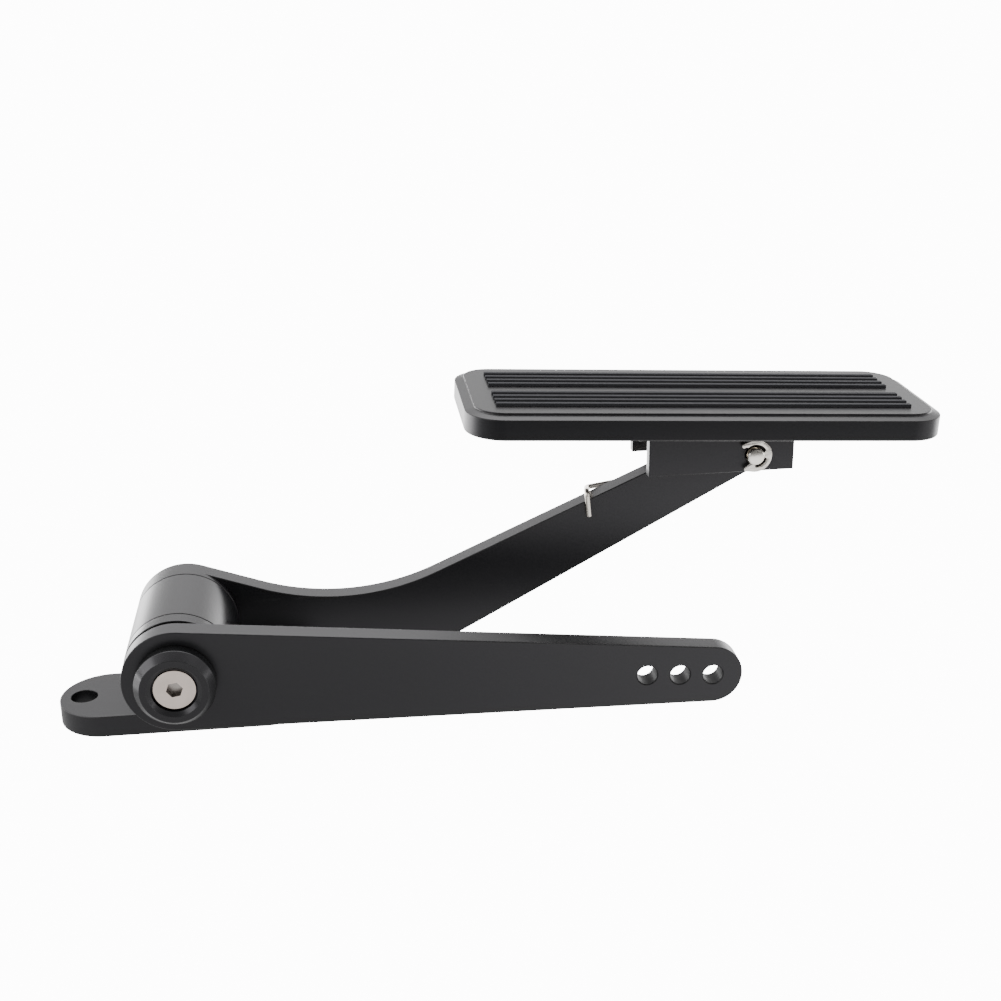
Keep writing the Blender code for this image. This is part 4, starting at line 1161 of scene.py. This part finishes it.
def make_pad_pin():
    front = -PIN_FRONT
    rear = -PIN_REAR
    tail = PIN_TAIL - GAP
    groove = CLIP_THICKNESS + 2 * GAP
    pin = turned_shape(
        "pad_pin", [
            (0, front),
            (PIN_RADIUS - PIN_CHAMFER, front, FINE_ROUND),
            (PIN_RADIUS, front - PIN_CHAMFER, FINE_ROUND),
            (PIN_RADIUS, front - tail),
            (PIN_GROOVE_RADIUS, front - tail),
            (PIN_GROOVE_RADIUS, front - tail - groove),
            (PIN_RADIUS, front - tail - groove),
            (PIN_RADIUS, rear + tail + groove),
            (PIN_GROOVE_RADIUS, rear + tail + groove),
            (PIN_GROOVE_RADIUS, rear + tail),
            (PIN_RADIUS, rear + tail),
            (PIN_RADIUS, rear + PIN_CHAMFER, FINE_ROUND),
            (PIN_RADIUS - PIN_CHAMFER, rear, FINE_ROUND),
            (0, rear),
        ],
        FACING_FRONT, PIN, SMALL_ROUND_STEPS,
    )
    finished("pad_pin_ground", pin, PIN_STEEL, "pad", "pad_pin", FINE_EDGE_WIDEST)


def clip_outline():
    """A clip, open about the +X direction, with two lugs on the groove and one free jaw."""
    centre = Vector((0, 0))
    half_open = CLIP_OPENING / 2
    contact = PIN_GROOVE_RADIUS + GAP
    lug = 2 * CLIP_LUG_HALF_ANGLE
    slope = CLIP_LUG_SLOPE
    back_lug = math.pi + CLIP_LUG_HALF_ANGLE
    shoulder = half_open + math.acos((CLIP_RADIUS - CLIP_JAW_RADIUS) / CLIP_JAW_REACH)
    jaw = CLIP_JAW_REACH * Vector((math.cos(half_open), math.sin(half_open)))
    end = half_open - math.pi / 2
    outline = arc(jaw, CLIP_JAW_RADIUS, end, shoulder, 4 * ARC_STEP)
    outline += arc(centre, CLIP_RADIUS, shoulder, 2 * math.pi - shoulder)
    other_jaw = Vector((jaw.x, -jaw.y))
    full = 2 * math.pi
    inward = full - end + math.pi / 2
    outline += arc(other_jaw, CLIP_JAW_RADIUS, full - shoulder, inward, 4 * ARC_STEP)
    outline += arc(centre, CLIP_POCKET_RADIUS, full - half_open - slope, back_lug + slope)
    outline += arc(centre, contact, back_lug, back_lug - lug)
    outline += arc(centre, CLIP_POCKET_RADIUS, back_lug - lug - slope, half_open + lug + slope)
    outline += arc(centre, contact, half_open + lug, half_open)
    return outline


def make_pin_clips():
    for end, place in (
        ("front", NEAR_EAR_OUTSIDE - CLIP_STANDOFF - CLIP_THICKNESS / 2),
        ("rear", FAR_EAR_OUTSIDE + CLIP_STANDOFF + CLIP_THICKNESS / 2),
    ):
        name = "pin_clip_" + end
        clip = flat_shape(
            name, [clip_outline()], CLIP_THICKNESS, (math.pi / 2, -CLIP_TURN, 0),
            (PIN.x, place, PIN.z), CLIP_EDGE_ROUND,
        )
        finished(name + "_stamped", clip, STEEL, "pad", name, FINE_EDGE_WIDEST)


def make_pin_rings():
    length = FAR_EAR_INSIDE - PEDAL_ARM_REAR - 2 * GAP
    washer = turned_shape(
        "pin_washer", [
            (PIN_WASHER_RADIUS, PIN_WASHER_THICKNESS, FINE_ROUND),
            (PIN_WASHER_RADIUS, 0, FINE_ROUND),
            (PIN_BORE, 0),
            (PIN_BORE, PIN_WASHER_THICKNESS),
        ],
        FACING_FRONT, (PIN.x, PEDAL_ARM_FRONT - GAP, PIN.z), SMALL_ROUND_STEPS, ring=True,
    )
    finished("pin_washer_turned", washer, STEEL, "pad", "pin_washer")
    sleeve = turned_shape(
        "pin_sleeve", [
            (SLEEVE_RADIUS, length, FINE_ROUND),
            (SLEEVE_RADIUS, 0, FINE_ROUND),
            (PIN_BORE, 0),
            (PIN_BORE, length),
        ],
        FACING_REAR, (PIN.x, PEDAL_ARM_REAR + GAP, PIN.z), SMALL_ROUND_STEPS, ring=True,
    )
    finished("pin_sleeve_turned", sleeve, STEEL, "pad", "pin_sleeve")


# Torsion spring
def spring_path():
    """Centre line of the spring's wire, from the pin's axis, hook first."""
    hook_z = arm_top_line(PIN_REACH - SPRING_HOOK_BACK) - PIN_RISE + SPRING_HOOK_LIFT
    corner_z = arm_top_line(PIN_REACH - SPRING_CORNER_BACK) - PIN_RISE + SPRING_CORNER_LIFT
    distance = math.hypot(SPRING_CORNER_BACK, corner_z)
    slope = math.atan2(-corner_z, SPRING_CORNER_BACK) - math.asin(COIL_RADIUS / distance)
    down = Vector((math.sin(SPRING_HOOK_LEAN), 0, -math.cos(SPRING_HOOK_LEAN)))
    near = Vector((-SPRING_HOOK_BACK, PEDAL_ARM_FRONT - GAP - WIRE_RADIUS, hook_z))
    far_y = PEDAL_ARM_REAR + 2 * GAP + WIRE_RADIUS
    far = Vector((-SPRING_CORNER_BACK, far_y, corner_z))

    first = slope - math.pi / 2
    last = math.pi / 2 - PAD_TILT + 2 * math.pi * SPRING_TURNS
    coil = []
    count = SPRING_STEPS * SPRING_TURNS + SPRING_STEPS // 2
    for i in range(count + 1):
        angle = first + (last - first) * i / count
        y = far.y + SPRING_PITCH * (angle - first) / (2 * math.pi)
        coil.append(Vector((COIL_RADIUS * math.cos(angle), y, COIL_RADIUS * math.sin(angle))))

    tip = near + down * SPRING_HOOK_DROP
    path = [tip]
    path += rounded(tip, near, far, SPRING_BEND_RADIUS, SPRING_BEND_STEP)
    path += rounded(near, far, coil[0], SPRING_BEND_RADIUS, SPRING_BEND_STEP)
    path += coil
    path.append(coil[-1] - PAD_ALONG * SPRING_TAIL)
    return path


def make_pad_spring():
    curve = bpy.data.curves.new("pad_spring", "CURVE")
    curve.dimensions = "3D"
    curve.bevel_depth = WIRE_RADIUS
    curve.bevel_resolution = WIRE_RESOLUTION
    curve.use_fill_caps = True
    path = spring_path()
    spline = curve.splines.new("POLY")
    spline.points.add(len(path) - 1)
    for point, place in zip(spline.points, path):
        point.co = (*place, 1)
    guide = add_object("pad_spring_guide", curve, NO_TURN, PIN)
    mesh = baked(guide)
    remove(guide)
    mesh.shade_smooth()
    mesh.set_sharp_from_angle(angle=SMOOTH_ANGLE)
    mesh.materials.clear()
    mesh.materials.append(WIRE)
    spring = add_object("pad_spring_wire", mesh)
    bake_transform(spring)
    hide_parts("pad_spring")


def dress_hidden_nodes():
    """The pieces inside the barrel keep their CAD shapes."""
    for name, material in (
        ("bushing_front", BRONZE), ("bushing_rear", BRONZE), ("pivot_shaft", STEEL)
    ):
        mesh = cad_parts[name].data
        mesh.materials.clear()
        mesh.materials.append(material)


# Studio
def make_camera():
    forward = Vector((
        math.sin(CAMERA_AZIMUTH) * math.cos(CAMERA_DIP),
        math.cos(CAMERA_AZIMUTH) * math.cos(CAMERA_DIP),
        -math.sin(CAMERA_DIP),
    ))
    level = Vector((math.cos(CAMERA_AZIMUTH), -math.sin(CAMERA_AZIMUTH), 0))
    upward = level.cross(forward)
    right = level * math.cos(CAMERA_ROLL) + upward * math.sin(CAMERA_ROLL)
    up = upward * math.cos(CAMERA_ROLL) - level * math.sin(CAMERA_ROLL)
    camera = bpy.data.cameras.new("camera")
    camera.sensor_width = SENSOR_WIDTH
    camera.lens = FOCAL_PIXELS / PICTURE_PIXELS * SENSOR_WIDTH
    camera.clip_start, camera.clip_end = CAMERA_REACH
    obj = add_object("camera", camera)
    turn = Matrix((right, up, -forward)).transposed().to_4x4()
    obj.matrix_world = Matrix.Translation(CAMERA_POSITION) @ turn
    bpy.context.scene.camera = obj


def make_floor():
    """A pale floor, white to the camera, which glows more behind the pedal than in front."""
    mesh = bpy.data.meshes.new("floor")
    half = FLOOR_SIZE / 2
    mesh.from_pydata(
        [(-half, -half, 0), (half, -half, 0), (half, half, 0), (-half, half, 0)],
        [], [(0, 1, 2, 3)],
    )
    finish = Finish("pale_floor", Roughness=1.0)
    finish.set("Base Color", (*FLOOR_COLOUR, 1))
    finish.set("Specular IOR Level", 0.0)
    across = finish.node("ShaderNodeSeparateXYZ", None, {"Vector": finish.place}, output="X")
    away = finish.node("ShaderNodeSeparateXYZ", None, {"Vector": finish.place}, output="Y")
    middle = (
        FLOOR_LEFT_GLOW
        + finish.fade(across, *FLOOR_ACROSS_FADE) * (FLOOR_RIGHT_GLOW - FLOOR_LEFT_GLOW)
    )
    reflector = (
        finish.fade(0 - across, *REFLECTOR_SIDE_FADE)
        * finish.fade(away, *REFLECTOR_FRONT_FADE)
    )
    glow = (
        FLOOR_FRONT_GLOW
        + finish.fade(away, *FLOOR_FRONT_FADE)
        * (middle + finish.fade(0 - away, *FLOOR_MIDDLE_FADE) * FLOOR_MIDDLE_GLOW)
        + finish.fade(away, *FLOOR_BACK_FADE) * FLOOR_BACK_GLOW
        + reflector * REFLECTOR_GLOW
    )
    to_camera = finish.node("ShaderNodeLightPath", output="Is Camera Ray")
    finish.set("Emission Color", (1, 1, 1, 1))
    finish.set("Emission Strength", glow + to_camera * (CAMERA_WHITE - glow))
    floor = add_object("floor", mesh, NO_TURN, (0, 0, -FLOOR_DEPTH))
    floor.data.materials.append(finish.material)


def make_softbox():
    light = bpy.data.lights.new("overhead_softbox", "AREA")
    light.shape = "RECTANGLE"
    light.size = SOFTBOX_WIDTH
    light.size_y = SOFTBOX_HEIGHT
    light.energy = SOFTBOX_POWER
    softbox = add_object("overhead_softbox", light, NO_TURN, SOFTBOX_PLACE)
    aim = Vector(SOFTBOX_TARGET) - Vector(SOFTBOX_PLACE)
    softbox.rotation_euler = aim.to_track_quat("-Z", "Y").to_euler()


def make_room():
    """A backdrop that is brightest overhead, a bright box at the left and a dim front."""
    world = bpy.data.worlds.new("studio")
    bpy.context.scene.world = world
    world.use_nodes = True
    studio = Graph(world.node_tree)
    way = studio.node("ShaderNodeTexCoord", output="Generated")
    parts = studio.node("ShaderNodeSeparateXYZ", None, {"Vector": way})
    across, away, height = (
        Value(studio, parts.socket.node.outputs[name]) for name in ("X", "Y", "Z")
    )
    back = studio.fade(away, *BACKDROP_FADE)
    right_side = studio.fade(across, *SIDE_FADE) * SIDE_GLOW
    left_side = studio.fade(0 - across, *SIDE_FADE) * SIDE_GLOW
    horizon = (
        (1 - studio.fade(height, *HORIZON_TOP_FADE))
        * studio.fade(across, *HORIZON_SIDE_FADE)
        * HORIZON_GLOW
    )
    overhead = studio.fade(height, *OVERHEAD_FADE) * OVERHEAD_GLOW
    dip = (
        studio.fade(height, *DIP_FOOT_FADE)
        * (1 - studio.fade(height, *DIP_TOP_FADE))
        * BACKDROP_DIP
    )
    side_box = (
        studio.fade(0 - across, *SIDE_BOX_FADE)
        * studio.fade(height, *SIDE_BOX_FOOT_FADE)
        * (1 - studio.fade(height, *SIDE_BOX_TOP_FADE))
        * (1 - studio.fade(away, *SIDE_BOX_BACK_FADE))
        * SIDE_BOX_GLOW
    )
    back_glow = back * (BACKDROP_GLOW - ROOM_GLOW + overhead - dip)
    glow = ROOM_GLOW + back_glow + (right_side + left_side) + side_box + horizon
    to_camera = studio.node("ShaderNodeLightPath", output="Is Camera Ray")
    strength = glow + to_camera * (CAMERA_WHITE - glow)
    background = world.node_tree.nodes["Background"]
    studio.feed(background.inputs["Strength"], strength)
    background.inputs["Color"].default_value = (1, 1, 1, 1)


make_camera()
make_room()
make_softbox()
make_floor()
make_base_bracket()
make_spacers()
make_throttle_arm()
make_cap("front", FACING_FRONT, THROTTLE_ARM_FRONT - GAP)
make_cap("rear", FACING_REAR, PEDAL_ARM_REAR + GAP)
make_pedal_arm()
make_pad_plate()
make_pad_ribs()
make_pad_bracket()
make_bracket_screws()
make_pad_pin()
make_pin_clips()
make_pin_rings()
make_pad_spring()
dress_hidden_nodes()
